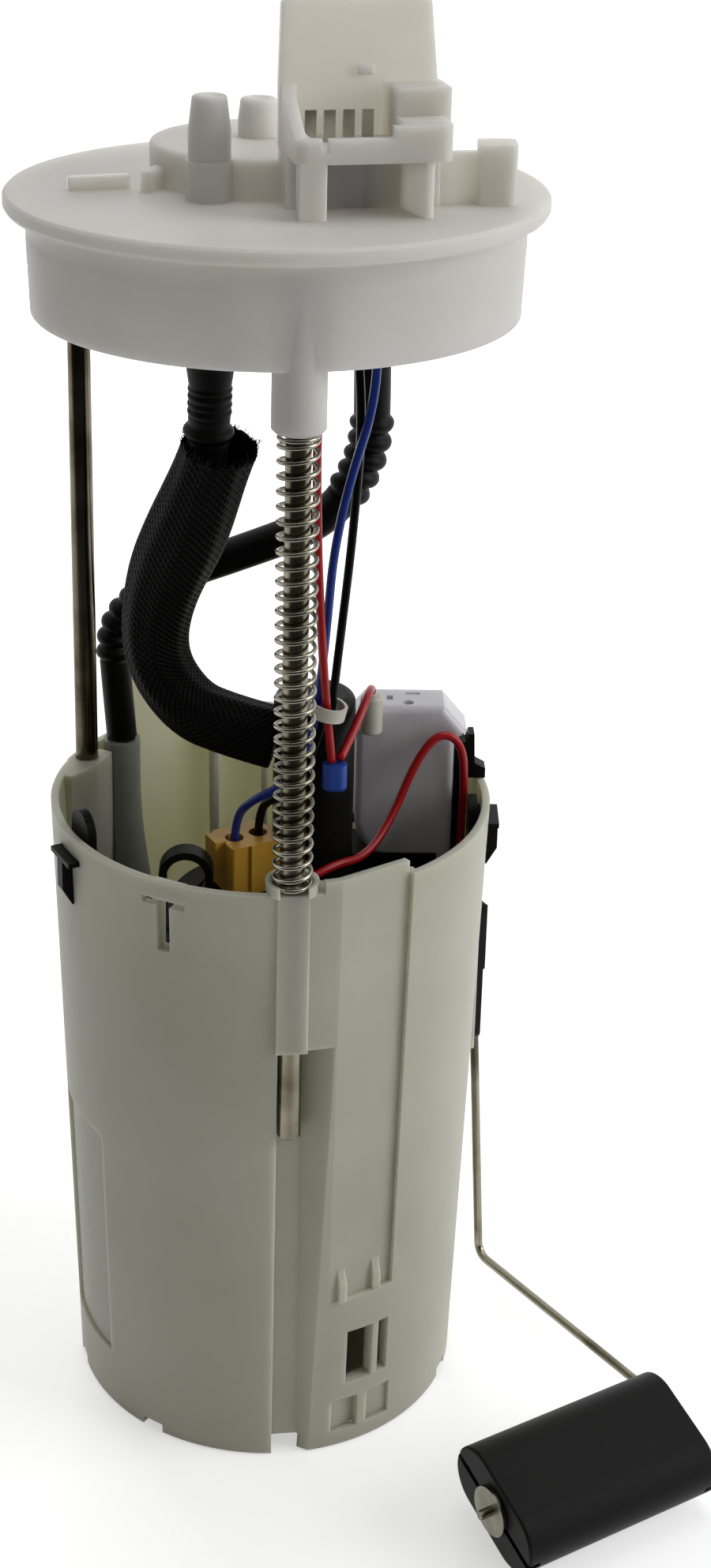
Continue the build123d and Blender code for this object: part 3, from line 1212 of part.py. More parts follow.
supply_hose = cord("supply_hose", SUPPLY_ROUTE, HOSE_R)
return_hose = cord("return_hose", RETURN_ROUTE, RETURN_HOSE_R)
sleeve_start = (-16.3, -12.9, 270.0)
supply_hose_sleeve = cord(
    "supply_hose_sleeve", (sleeve_start, *SUPPLY_ROUTE[2:]), SLEEVE_R, SLEEVE_BORE_R
)

# ---------------------------------------------------------------- wires
WIRE_TOP_Z = PIN_BOTTOM_Z - 0.3
pin_world = [socket_plane.from_local_coords(Vector(u, w, 0)) for u, w in pin_spots]
SPLICE = (16.0, -23.6, 186.0)
cells = [connector_plane.from_local_coords(Vector(u, w, 0)) for u, w in terminal_spots]
CELL_END_Z = CONNECTOR_Z + 9.8
wire_routes = {
    "red_supply_wire": (
        (pin_world[1].X, pin_world[1].Y, WIRE_TOP_Z),
        (12.0, -26.0, 285.0),
        (12.4, -26.8, 247.0),
        (13.8, -26.1, 208.0),
        (15.2, -23.8, 191.0),
    ),
    "black_wire": (
        (pin_world[2].X, pin_world[2].Y, WIRE_TOP_Z),
        (21.2, -23.0, 290.0),
        (19.6, -21.9, 254.0),
        (16.2, -22.0, 218.0),
        (14.4, -21.4, 198.0),
        (7.6, -21.9, 181.4),
        (-0.6, -17.6, 177.4),
        (cells[1].X, cells[1].Y, 170.6),
        (cells[1].X, cells[1].Y, CELL_END_Z),
    ),
    "blue_wire": (
        (pin_world[3].X, pin_world[3].Y, WIRE_TOP_Z),
        (26.0, -23.8, 291.0),
        (19.6, -25.4, 257.0),
        (13.0, -23.3, 222.0),
        (10.6, -23.5, 197.0),
        (3.6, -26.4, 185.4),
        (-5.2, -24.2, 180.0),
        (cells[0].X, cells[0].Y, 171.2),
        (cells[0].X, cells[0].Y, CELL_END_Z),
    ),
    "red_suppressor_wire": (
        (17.2, -23.4, 191.4),
        (21.6, -16.4, 197.6),
        (25.6, -5.0, 204.4),
        (GROMMET_X, GROMMET_Y, 198.0),
    ),
    "red_sender_wire": (
        (5.5, -30.0, DECK_Z + DECK_T + 0.3),
        (6.8, -28.4, 158.0),
        (16.0, -23.0, 161.6),
        (25.0, -13.4, 158.8),
        (32.0, -3.4, 165.6),
        (38.0, 2.6, 179.0),
        (44.0, 4.4, 186.6),
        (50.4, 5.0, 183.0),
        (51.2, 5.3, 168.0),
        (50.6, 5.4, DECK_Z + DECK_T + 3.3),
    ),
}
for wire_name, route in wire_routes.items():
    cord(wire_name, route, WIRE_R)

with BuildPart() as splice_cap:
    with BuildSketch(Plane(origin=SPLICE, z_dir=(0, 0, 1)).offset(-3.0)):
        SlotCenterToCenter(2.0, 4.2)
    extrude(amount=7.4)
    fillet(splice_cap.edges().group_by(Axis.Z)[0], 1.2)
write(splice_cap, "splice_cap")

with BuildPart() as cable_tie:
    with BuildSketch(Plane(origin=(13.3, -23.4, 203.6), z_dir=(0.25, 0.0, 1.0))):
        Circle(5.0)
        Circle(4.2, mode=Mode.SUBTRACT)
    extrude(amount=3.4)
write(cable_tie, "cable_tie")

with BuildPart() as sender_contact:
    with BuildSketch(Plane.XY.offset(DECK_Z + DECK_T)):
        with Locations((50.2, 5.4)):
            RectangleRounded(4.6, 3.2, 0.6)
    extrude(amount=2.9)
write(sender_contact, "sender_contact")

# ---------------------------------------------------------------- level sender
sender_plane = radial_plane(SENDER_AZ)
frame_out = SENDER_FACE_R + SENDER_FRAME_T
boss_out = frame_out + SENDER_BOSS_H
CARD_T = 0.8
CARD_Z = (112.5, 128.0)
with BuildPart() as sender_frame:
    with BuildSketch(wall_plane(SENDER_AZ, SENDER_FACE_R + 0.05)):
        with Locations((0, SENDER_PIVOT_Z - 1)):
            RectangleRounded(*SENDER_FRAME_SIZE, 3)
    extrude(amount=SENDER_FRAME_T)
    with BuildSketch(wall_plane(SENDER_AZ, frame_out - 0.5)):
        with Locations((SENDER_PIVOT_Y, SENDER_PIVOT_Z)):
            Circle(4.2)
    extrude(amount=SENDER_BOSS_H + 0.5)
    # Low guards either side of the card, under the sweep of the wiper
    with BuildSketch(wall_plane(SENDER_AZ, frame_out - 0.5)):
        with Locations((0, SENDER_PIVOT_Z + 10)):
            with GridLocations(SENDER_FRAME_SIZE[0] - 3.2, 0, 2, 1):
                Rectangle(3.0, 20)
    extrude(amount=SENDER_GUARD_H + 0.5)
    with BuildSketch(wall_plane(SENDER_AZ, SENDER_FACE_R)):
        with Locations((SENDER_PIVOT_Y, SENDER_PIVOT_Z)):
            Circle(ARM_R + ARM_GAP)
    extrude(amount=30, mode=Mode.SUBTRACT)
write(sender_frame, "sender_frame")

with BuildPart() as sender_card:
    with BuildSketch(wall_plane(SENDER_AZ, frame_out + 0.05)):
        with Locations((0, (CARD_Z[0] + CARD_Z[1]) / 2 + 0.6)):
            Rectangle(22, CARD_Z[1] - CARD_Z[0])
    extrude(amount=CARD_T)
write(sender_card, "sender_card")

hub_in = boss_out + HUB_GAP
with BuildPart() as sender_hub:
    with BuildSketch(wall_plane(SENDER_AZ, hub_in)):
        with Locations((SENDER_PIVOT_Y, SENDER_PIVOT_Z)):
            Circle(6.4)
        with Locations((SENDER_PIVOT_Y, SENDER_PIVOT_Z + 9)):
            Rectangle(7.0, 16)
    extrude(amount=HUB_T)
    with BuildSketch(wall_plane(SENDER_AZ, hub_in - 1)):
        with Locations((SENDER_PIVOT_Y, SENDER_PIVOT_Z)):
            Circle(ARM_R + 0.02)
    extrude(amount=HUB_T + 2, mode=Mode.SUBTRACT)
write(sender_hub, "sender_hub")

with BuildPart() as sender_wiper:
    with BuildSketch(wall_plane(SENDER_AZ, frame_out + CARD_T + 0.3)):
        with Locations((SENDER_PIVOT_Y, SENDER_PIVOT_Z + 12)):
            with GridLocations(3.6, 0, 2, 1):
                Rectangle(1.2, 9)
        with Locations((SENDER_PIVOT_Y, SENDER_PIVOT_Z + 16)):
            Rectangle(4.8, 1.6)
    extrude(amount=hub_in - 0.05 - frame_out - CARD_T - 0.3)
write(sender_wiper, "sender_wiper")


def sender_point(r, t, z):
    """World point at radius r out along the sender's azimuth and t clockwise from it."""
    p = sender_plane.from_local_coords(Vector(r, -t, z))
    return (p.X, p.Y, p.Z)


float_far = ARM_PLANE_R - ARM_BEND_R - 0.3
float_near = float_far - FLOAT_LENGTH
arm_points = (
    sender_point(SENDER_FACE_R + 0.6, -SENDER_PIVOT_Y, SENDER_PIVOT_Z),
    sender_point(ARM_PLANE_R, -SENDER_PIVOT_Y, SENDER_PIVOT_Z),
    sender_point(ARM_PLANE_R, -ARM_KNEE[0], ARM_KNEE[1]),
    sender_point(ARM_PLANE_R, FLOAT_T, FLOAT_Z),
    sender_point(float_near - 4.0, FLOAT_T, FLOAT_Z),
)
with BuildPart() as float_arm:
    with BuildLine() as arm_line:
        FilletPolyline(*arm_points, radius=ARM_BEND_R)
    with BuildSketch(start_plane(arm_line.line)):
        Circle(ARM_R)
    sweep(path=arm_line.line)
write(float_arm, "float_arm")

float_plane = Plane(
    origin=sender_point(float_near, FLOAT_T, FLOAT_Z),
    x_dir=tuple(sender_plane.y_dir * cos(radians(FLOAT_TILT)) + Vector(0, 0, 1) * sin(radians(FLOAT_TILT))),
    z_dir=tuple(sender_plane.x_dir),
)
with BuildPart() as float_body:
    with BuildSketch(float_plane):
        SlotOverall(FLOAT_W, FLOAT_H)
    extrude(amount=FLOAT_LENGTH)
    fillet(float_body.edges(), 0.8)
    with BuildSketch(float_plane):
        Circle(ARM_R + ARM_GAP)
    extrude(amount=FLOAT_LENGTH, mode=Mode.SUBTRACT)
    # A groove right across each end face
    for end_plane, direction in ((float_plane, 1), (float_plane.offset(FLOAT_LENGTH), -1)):
        with BuildSketch(end_plane):
            Rectangle(FLOAT_W + 2, FLOAT_GROOVE[0])
        extrude(amount=FLOAT_GROOVE[1] * direction, mode=Mode.SUBTRACT)
write(float_body, "float_body")

with BuildPart() as float_retainer:
    with BuildSketch(float_plane.offset(-0.3)):
        Circle(6.4)
        Circle(ARM_R + 0.01, mode=Mode.SUBTRACT)
    extrude(amount=-0.9)
write(float_retainer, "float_retainer")

for cord_name, radii in WIRE_RADII.items():
    print(cord_name, "bend radii", radii)
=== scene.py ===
# %% [markdown]
# # A fuel pump module, dressed in Blender
#
# A fuel pump module stands inside a car's tank. A cream reservoir holds the electric pump, a white flange
# closes the tank, two steel rods let the flange slide on the reservoir, and a black float on a wire arm
# reads the fuel level. The rigid pieces come from the CAD model and only need their finish. Hoses, wires,
# the braided sleeve and the coil spring are made here, because their looks are in ribs, weave and bends.

# %% [markdown]
# ## The frame
# The imported CAD model comes in as a fixed frame: its nodes stand where they belong, and its bodies are
# what new pieces ride on. Routes and sizes below are written in millimetres, and Blender works in metres.

# %% Load the imported model
from math import radians

import bmesh
import bpy
import numpy as np
from mathutils import Matrix, Vector


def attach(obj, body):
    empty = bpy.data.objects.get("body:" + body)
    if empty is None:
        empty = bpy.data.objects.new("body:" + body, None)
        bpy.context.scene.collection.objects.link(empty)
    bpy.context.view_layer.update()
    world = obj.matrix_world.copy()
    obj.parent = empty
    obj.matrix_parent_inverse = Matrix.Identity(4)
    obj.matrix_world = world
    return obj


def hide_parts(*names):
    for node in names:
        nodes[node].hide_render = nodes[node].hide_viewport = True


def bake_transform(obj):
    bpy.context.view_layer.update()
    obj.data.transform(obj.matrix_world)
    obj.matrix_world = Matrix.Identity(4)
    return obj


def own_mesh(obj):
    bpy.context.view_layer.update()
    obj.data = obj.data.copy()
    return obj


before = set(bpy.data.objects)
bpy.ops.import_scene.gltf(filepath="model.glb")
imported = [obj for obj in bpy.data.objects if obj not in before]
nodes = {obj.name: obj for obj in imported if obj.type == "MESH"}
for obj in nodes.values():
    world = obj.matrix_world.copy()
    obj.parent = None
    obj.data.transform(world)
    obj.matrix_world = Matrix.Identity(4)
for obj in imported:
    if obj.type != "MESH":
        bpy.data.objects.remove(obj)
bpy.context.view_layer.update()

MM = 0.001
print("pieces from CAD:", len(nodes))

# %% [markdown]
# ## Surfaces on a grid
# Every new piece is a function of two parameters: how far along and how far round. The helper takes the
# finished grid of points and makes quads between neighbours, so that shape and mesh are kept apart. The
# same grid gives a UV map, in which a weave or a rib pattern can follow the surface round its bends.


# %% Turn a grid of points into a mesh
def grid_object(name, points, uv=None, close_along=False):
    """Mesh from points[i, j]: i runs along, j runs round and always closes on itself.

    Quad (i, j) joins (i, j), (i, j+1), (i+1, j+1), (i+1, j). An open grid gets a flat cap at each end.
    """
    rows, around = points.shape[:2]
    i = np.arange(rows if close_along else rows - 1)[:, None]
    j = np.arange(around)[None, :]
    i_next = (i + 1) % rows
    j_next = (j + 1) % around
    quads = np.stack(
        [i * around + j, i * around + j_next, i_next * around + j_next, i_next * around + j], axis=-1
    ).reshape(-1, 4)
    faces = quads.tolist()
    if not close_along:
        faces.append(list(range(around))[::-1])
        faces.append(list(range((rows - 1) * around, rows * around)))
    mesh = bpy.data.meshes.new(name)
    mesh.from_pydata(points.reshape(-1, 3).tolist(), [], faces)
    if uv is not None:
        corners = np.zeros((len(mesh.loops), 2))
        u0, u1 = np.broadcast_arrays(j / around, i * 0 + (j + 1) / around)
        v = uv if close_along else uv[:-1]
        v_next = np.roll(uv, -1) if close_along else uv[1:]
        v0, v1 = np.broadcast_arrays(v[:, None] + j * 0, v_next[:, None] + j * 0)
        quad_uv = np.stack([np.stack([u0, v0], -1), np.stack([u1, v0], -1),
                            np.stack([u1, v1], -1), np.stack([u0, v1], -1)], axis=2)
        corners[: quads.size] = quad_uv.reshape(-1, 2)
        mesh.uv_layers.new(name="UVMap").data.foreach_set("uv", corners.ravel())
    mesh.polygons.foreach_set("use_smooth", np.ones(len(mesh.polygons), bool))
    mesh.update()
    piece = bpy.data.objects.new(name, mesh)
    bpy.context.scene.collection.objects.link(piece)
    return piece


# %% [markdown]
# ## Cords follow a spline
# A hose or wire is stiff enough to bend in long curves. A NURBS spline through a few listed points
# gives that line. The spline is read back as points, evened out, and a ring of points is carried along it.
# The ring's zero direction comes from the one direction that the route turns to least, so it never flips.


# %% Read a smooth line from a few route points
FEWEST_POINTS = 8


def smooth_line(points_mm, spacing_mm):
    """Points, in metres, at equal steps of length along the route's quadratic NURBS spline, and each
    point's length run from the start.
    """
    curve = bpy.data.curves.new("route", "CURVE")
    curve.dimensions = "3D"
    spline = curve.splines.new("NURBS")
    spline.points.add(len(points_mm) - 1)
    flat = np.column_stack([np.array(points_mm) * MM, np.ones(len(points_mm))])
    spline.points.foreach_set("co", flat.ravel())
    spline.order_u = 3
    spline.use_endpoint_u = True
    spline.resolution_u = 24
    holder = bpy.data.objects.new("route", curve)
    mesh = bpy.data.meshes.new_from_object(holder)
    line = np.zeros(3 * len(mesh.vertices))
    mesh.vertices.foreach_get("co", line)
    line = line.reshape(-1, 3)
    bpy.data.objects.remove(holder)
    bpy.data.curves.remove(curve)
    bpy.data.meshes.remove(mesh)
    run = np.concatenate([[0], np.cumsum(np.linalg.norm(np.diff(line, axis=0), axis=1))])
    count = max(FEWEST_POINTS, int(run[-1] / (spacing_mm * MM)))
    wanted = np.linspace(0, run[-1], count)
    return np.column_stack([np.interp(wanted, run, line[:, k]) for k in range(3)]), wanted


# %% Carry a ring of points along the line
def rings(line, radius, around, slant=0.0):
    """points[i, j] = line[i] + radius[i, j] (cos a_j n_i + sin a_j b_i) + slant[i, j] t_i.

    t is the line's tangent, n and b are two directions square to it and to each other.
    """
    tangent = np.gradient(line, axis=0)
    tangent /= np.linalg.norm(tangent, axis=1)[:, None]
    steady = np.linalg.svd(tangent - tangent.mean(axis=0))[2][-1]
    normal = np.cross(tangent, steady)
    normal /= np.linalg.norm(normal, axis=1)[:, None]
    binormal = np.cross(tangent, normal)
    angle = np.linspace(0, 2 * np.pi, around, endpoint=False)
    radius = np.broadcast_to(np.asarray(radius), (len(line), around))
    slant = np.broadcast_to(np.asarray(slant), (len(line), around))
    circle = (np.cos(angle)[None, :, None] * normal[:, None]
              + np.sin(angle)[None, :, None] * binormal[:, None])
    return line[:, None] + radius[..., None] * circle + slant[..., None] * tangent[:, None]


# %% Bake a piece's transform into its mesh
def across_slide(piece):
    """Bakes the piece's transform into its mesh and gives the piece back.
    """
    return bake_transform(piece)


# %% [markdown]
# ## Shader parts that several finishes share
# A moulding is never one flat colour: the melt leaves slow clouds in tone, and the tool leaves a fine
# grain that breaks up highlights. Painting that on an image would tie it to one piece, but a node group
# with named inputs works on all of them, and each material sets its own colours and amounts on it.


# %% Helpers for node trees
FLOAT, COLOUR, VECTOR = "NodeSocketFloat", "NodeSocketColor", "NodeSocketVector"


def new_group(name, inputs, outputs):
    """Empty shader group with float or colour inputs and outputs, and its two end nodes."""
    group = bpy.data.node_groups.new(name, "ShaderNodeTree")
    for label, kind, value in inputs:
        made = group.interface.new_socket(label, in_out="INPUT", socket_type=kind)
        made.default_value = value
    for label, kind in outputs:
        group.interface.new_socket(label, in_out="OUTPUT", socket_type=kind)
    return group, group.nodes.new("NodeGroupInput"), group.nodes.new("NodeGroupOutput")


def add(tree, kind, **settings):
    """New node; settings that name a property set it, others set the input socket of that name."""
    node = tree.nodes.new(kind)
    for key, value in settings.items():
        if hasattr(node, key):
            setattr(node, key, value)
        else:
            node.inputs[key.replace("_", " ")].default_value = value
    return node


def spread_out(group, low, high):
    """Map Range node that stretches low to high over 0 to 1, because noise seldom leaves its middle."""
    node = add(group, "ShaderNodeMapRange")
    node.inputs["From Min"].default_value = low
    node.inputs["From Max"].default_value = high
    return node


# %% Moulding: slow clouds in tone and gloss, and a fine grain
CLOUD_ROUGHNESS = 0.12
MOULDING_RELIEF = 0.0004


def make_moulding_group():
    """Colour goes from shade to tone with a slow noise; height is a fine noise; roughness is its own
    value plus a little of the slow noise.
    """
    group, start, end = new_group(
        "moulding_skin",
        [("Tone", COLOUR, (0.8, 0.8, 0.8, 1)), ("Shade", COLOUR, (0.7, 0.7, 0.7, 1)),
         ("Cloud Size", FLOAT, 30.0), ("Grain Size", FLOAT, 2500.0),
         ("Grain Height", FLOAT, 0.1), ("Roughness", FLOAT, 0.4)],
        [("Color", COLOUR), ("Roughness", FLOAT), ("Normal", VECTOR)],
    )
    place = add(group, "ShaderNodeTexCoord")
    clouds = add(group, "ShaderNodeTexNoise", Detail=4.0, Roughness=0.55)
    grain = add(group, "ShaderNodeTexNoise", Detail=2.0)
    mix = add(group, "ShaderNodeMix", data_type="RGBA")
    spread = spread_out(group, 0.3, 0.7)
    rough = add(group, "ShaderNodeMath", operation="MULTIPLY_ADD")
    rough.inputs[1].default_value = CLOUD_ROUGHNESS
    bump = add(group, "ShaderNodeBump", Distance=MOULDING_RELIEF)
    link = group.links.new
    link(place.outputs["Object"], clouds.inputs["Vector"])
    link(place.outputs["Object"], grain.inputs["Vector"])
    link(start.outputs["Cloud Size"], clouds.inputs["Scale"])
    link(start.outputs["Grain Size"], grain.inputs["Scale"])
    link(clouds.outputs["Fac"], spread.inputs["Value"])
    link(spread.outputs["Result"], mix.inputs["Factor"])
    link(start.outputs["Shade"], mix.inputs["A"])
    link(start.outputs["Tone"], mix.inputs["B"])
    link(clouds.outputs["Fac"], rough.inputs[0])
    link(start.outputs["Roughness"], rough.inputs[2])
    link(grain.outputs["Fac"], bump.inputs["Height"])
    link(start.outputs["Grain Height"], bump.inputs["Strength"])
    link(mix.outputs["Result"], end.inputs["Color"])
    link(rough.outputs["Value"], end.inputs["Roughness"])
    link(bump.outputs["Normal"], end.inputs["Normal"])
    return group


moulding_skin = make_moulding_group()


# %% [markdown]
# ## Lines on metal
# Rods and wires are drawn or ground, which leaves lines along one axis, and fuel leaves brownish stains.
# A noise that is squeezed along an axis gives such lines without any modelling, and it follows Object
# coordinates, so it stays on the piece when that moves.


# %% Drawn metal: fine lines along one axis and a few darker stains
LINE_ROUGHNESS = 0.2
METAL_RELIEF = 0.0002


def make_drawn_group():
    """Noise squeezed along the drawing axis gives the lines; a slow noise gives the stains."""
    group, start, end = new_group(
        "drawn_metal",
        [("Bright", COLOUR, (0.7, 0.7, 0.7, 1)), ("Stain", COLOUR, (0.4, 0.4, 0.4, 1)),
         ("Lines", VECTOR, (900.0, 900.0, 12.0)), ("Roughness", FLOAT, 0.25), ("Depth", FLOAT, 0.15)],
        [("Color", COLOUR), ("Roughness", FLOAT), ("Normal", VECTOR)],
    )
    place = add(group, "ShaderNodeTexCoord")
    squeeze = add(group, "ShaderNodeVectorMath", operation="MULTIPLY")
    lines = add(group, "ShaderNodeTexNoise", Scale=1.0, Detail=3.0)
    stains = add(group, "ShaderNodeTexNoise", Scale=70.0, Detail=5.0)
    spread = spread_out(group, 0.42, 0.68)
    mix = add(group, "ShaderNodeMix", data_type="RGBA")
    rough = add(group, "ShaderNodeMath", operation="MULTIPLY_ADD")
    rough.inputs[1].default_value = LINE_ROUGHNESS
    bump = add(group, "ShaderNodeBump", Distance=METAL_RELIEF)
    link = group.links.new
    link(place.outputs["Object"], squeeze.inputs[0])
    link(start.outputs["Lines"], squeeze.inputs[1])
    link(squeeze.outputs["Vector"], lines.inputs["Vector"])
    link(place.outputs["Object"], stains.inputs["Vector"])
    link(stains.outputs["Fac"], spread.inputs["Value"])
    link(spread.outputs["Result"], mix.inputs["Factor"])
    link(start.outputs["Bright"], mix.inputs["A"])
    link(start.outputs["Stain"], mix.inputs["B"])
    link(lines.outputs["Fac"], rough.inputs[0])
    link(start.outputs["Roughness"], rough.inputs[2])
    link(lines.outputs["Fac"], bump.inputs["Height"])
    link(start.outputs["Depth"], bump.inputs["Strength"])
    link(mix.outputs["Result"], end.inputs["Color"])
    link(rough.outputs["Value"], end.inputs["Roughness"])
    link(bump.outputs["Normal"], end.inputs["Normal"])
    return group


drawn_metal = make_drawn_group()


# %% [markdown]
# ## Weave of the sleeve
# The sleeve is braided from flat bundles that cross over each other. Its pattern has to bend with the
# hose, which Object coordinates can't do, so it is drawn on the UV map: u goes round, and v is the length
# run in metres. Two sets of sine ridges cross, and the higher one shows; the gaps between them are
# coloured darker, partly the weave's pattern and partly painted shade.


# %% Braid: two sets of strands crossing on the UV map
BRAID_RELIEF = 0.0004


def make_braid_group():
    """Strands run at plus and minus a slope over (u, v); the higher of the two sine ridges shows, and the
    low gaps between them get the dark colour, partly the weave's pattern and partly painted shade.
    """
    group, start, end = new_group(
        "braid",
        [("Strands", FLOAT, 24.0), ("Per Length", FLOAT, 24.0), ("Light", COLOUR, (0.05, 0.05, 0.05, 1)),
         ("Gap Shade", COLOUR, (0.01, 0.01, 0.01, 1)), ("Depth", FLOAT, 0.6)],
        [("Color", COLOUR), ("Normal", VECTOR)],
    )
    place = add(group, "ShaderNodeTexCoord")
    split = add(group, "ShaderNodeSeparateXYZ")
    around = add(group, "ShaderNodeMath", operation="MULTIPLY")
    along = add(group, "ShaderNodeMath", operation="MULTIPLY")
    link = group.links.new
    link(place.outputs["UV"], split.inputs["Vector"])
    link(split.outputs["X"], around.inputs[0])
    link(start.outputs["Strands"], around.inputs[1])
    link(split.outputs["Y"], along.inputs[0])
    link(start.outputs["Per Length"], along.inputs[1])
    ridges = []
    for operation in ("ADD", "SUBTRACT"):
        slope = add(group, "ShaderNodeMath", operation=operation)
        turn = add(group, "ShaderNodeMath", operation="MULTIPLY")
        turn.inputs[1].default_value = 2 * np.pi
        wave = add(group, "ShaderNodeMath", operation="SINE")
        link(around.outputs["Value"], slope.inputs[0])
        link(along.outputs["Value"], slope.inputs[1])
        link(slope.outputs["Value"], turn.inputs[0])
        link(turn.outputs["Value"], wave.inputs[0])
        ridges.append(wave)
    higher = add(group, "ShaderNodeMath", operation="MAXIMUM")
    link(ridges[0].outputs["Value"], higher.inputs[0])
    link(ridges[1].outputs["Value"], higher.inputs[1])
    # Colour by height: the ridges take the light strand colour, and the low gaps between strands take the
    # dark one, partly pattern and partly painted shade.
    mix = add(group, "ShaderNodeMix", data_type="RGBA")
    bump = add(group, "ShaderNodeBump", Distance=BRAID_RELIEF)
    link(higher.outputs["Value"], mix.inputs["Factor"])
    link(start.outputs["Gap Shade"], mix.inputs["A"])
    link(start.outputs["Light"], mix.inputs["B"])
    link(higher.outputs["Value"], bump.inputs["Height"])
    link(start.outputs["Depth"], bump.inputs["Strength"])
    link(mix.outputs["Result"], end.inputs["Color"])
    link(bump.outputs["Normal"], end.inputs["Normal"])
    return group


braid = make_braid_group()
print("shared effects:", moulding_skin.name, drawn_metal.name, braid.name)

# %% [markdown]
# ## The finishes
# Each function returns a material: a Principled BSDF whose colour, roughness and normal come from one of
# the groups above. What is the same all over the surface, such as light passing through thin nylon, is set
# on the shader's own socket.


# %% Three kinds of finish
def colour(hex_text):
    """Linear colour from an sRGB code: dark values are divided by 12.92, the rest have 0.055 added, are
    divided by 1.055 and raised to the power 2.4.
    """
    srgb = np.array([int(hex_text[k:k + 2], 16) for k in (0, 2, 4)]) / 255
    linear = np.where(srgb <= 0.04045, srgb / 12.92, ((srgb + 0.055) / 1.055) ** 2.4)
    return (*linear.tolist(), 1.0)


def material_from(name, group, values, **shader_values):
    """Principled material fed by a group's Color, Roughness and Normal, where it has them."""
    material = bpy.data.materials.new(name)
    material.use_nodes = True
    tree = material.node_tree
    shader = tree.nodes["Principled BSDF"]
    effect = add(tree, "ShaderNodeGroup", node_tree=group)
    for key, value in values.items():
        effect.inputs[key].default_value = value
    tree.links.new(effect.outputs["Color"], shader.inputs["Base Color"])
    tree.links.new(effect.outputs["Normal"], shader.inputs["Normal"])
    if "Roughness" in effect.outputs:
        tree.links.new(effect.outputs["Roughness"], shader.inputs["Roughness"])
    for key, value in shader_values.items():
        shader.inputs[key.replace("_", " ")].default_value = value
    return material


def moulded(name, tone, shade, roughness, grain, clouds=30.0, grain_size=2500.0, **more):
    """Moulded plastic, rubber or foam; roughness is what it comes to in the middle of the clouds."""
    values = {"Tone": colour(tone), "Shade": colour(shade), "Cloud Size": clouds,
              "Grain Size": grain_size, "Grain Height": grain,
              "Roughness": roughness - CLOUD_ROUGHNESS / 2}
    return material_from(name, moulding_skin, values, **more)


def metal(name, bright, stain, lines, roughness, depth):
    """Drawn, rolled or turned metal; lines are how often the noise repeats along x, y and z."""
    values = {"Bright": colour(bright), "Stain": colour(stain), "Lines": lines,
              "Roughness": roughness - LINE_ROUGHNESS / 2, "Depth": depth}
    return material_from(name, drawn_metal, values, Metallic=1.0)


# %% One material for each finish on the module
# Moulded: name, tone, shade, roughness, grain height, cloud size, grain size.
# Metal: name, bright, stain, lines, roughness, depth of the lines.
finish = {
    "pot": moulded("cream_pot", "c9c9b8", "bebeac", 0.46, 0.10, 22.0, Specular_IOR_Level=0.35,
                   Subsurface_Weight=0.8, Subsurface_Radius=(0.006, 0.0058, 0.005), Subsurface_Scale=1.0),
    "nylon": moulded("white_nylon", "e2dfd9", "d9d6cf", 0.5, 0.08, 26.0, Specular_IOR_Level=0.2,
                     Subsurface_Weight=1.0, Subsurface_Radius=(0.009, 0.0087, 0.008),
                     Subsurface_Scale=1.0),
    "black": moulded("black_acetal", "10100f", "0a0a0a", 0.42, 0.2, Specular_IOR_Level=0.1),
    "ivory": moulded("ivory_nylon", "cfccbf", "c2bfb0", 0.35, 0.06),
    "tube": moulded("milky_tube", "9a9d92", "8d9086", 0.3, 0.05, Subsurface_Weight=0.5,
                    Subsurface_Radius=(0.003, 0.003, 0.003), Subsurface_Scale=1.0),
    "lilac": moulded("lilac_capsule", "dad9dc", "cfced2", 0.3, 0.06, 34.0, Subsurface_Weight=0.5,
                     Subsurface_Radius=(0.004, 0.004, 0.005), Subsurface_Scale=1.0),
    "yellow": moulded("yellow_plug", "c99a3a", "bd8c2c", 0.38, 0.08, Specular_IOR_Level=0.3),
    "blue_cap": moulded("blue_splice", "2c55b4", "2248a6", 0.35, 0.1),
    "rubber": moulded("black_rubber", "0e0e0e", "080808", 0.6, 0.3, Specular_IOR_Level=0.08),
    "hose": moulded("hose_black", "0c0c0b", "070707", 0.45, 0.15, 60.0, Specular_IOR_Level=0.12),
    "foam": moulded("float_foam", "0a0a09", "060606", 0.4, 0.35, 90.0, 5200.0, Specular_IOR_Level=0.12),
    "red_wire": moulded("red_insulation", "ad0d16", "980a12", 0.3, 0.02, Specular_IOR_Level=0.35),
    "blue_wire": moulded("blue_insulation", "15338f", "0f2a7c", 0.3, 0.02, Specular_IOR_Level=0.35),
    "black_wire": moulded("black_insulation", "0d0d0e", "080809", 0.3, 0.02, Specular_IOR_Level=0.12),
    "card": moulded("ceramic_card", "cfccbd", "c5c2b2", 0.5, 0.1),
    "magnet": moulded("sintered_black", "2b2b2d", "222224", 0.55, 0.3),
    "mesh": moulded("filter_cloth", "dadcd6", "cfd1cb", 0.7, 0.9, 40.0, 1800.0),
    "rod": metal("ground_rod", "8d8878", "625d4c", (700.0, 700.0, 30.0), 0.22, 0.1),
    # The left rod is the same ground steel as the front rod. Its darker bright and stain colours are
    # painted shade, standing in for the dark surroundings it mirrors.
    "left_rod": metal("left_rod_painted_shade", "6f6858", "48422f", (700.0, 700.0, 20.0), 0.2, 0.12),
    "spring": metal("spring_wire", "a6a294", "6a6656", (300.0, 300.0, 300.0), 0.22, 0.1),
    "arm": metal("arm_wire", "949080", "5f5b4c", (300.0, 300.0, 300.0), 0.26, 0.15),
    "case": metal("zinc_case", "b4b6b6", "94979a", (500.0, 500.0, 20.0), 0.34, 0.2),
    "contact": metal("tinned_brass", "d2cdc2", "a39c8c", (600.0, 600.0, 600.0), 0.36, 0.1),
}
print("finishes:", len(finish))

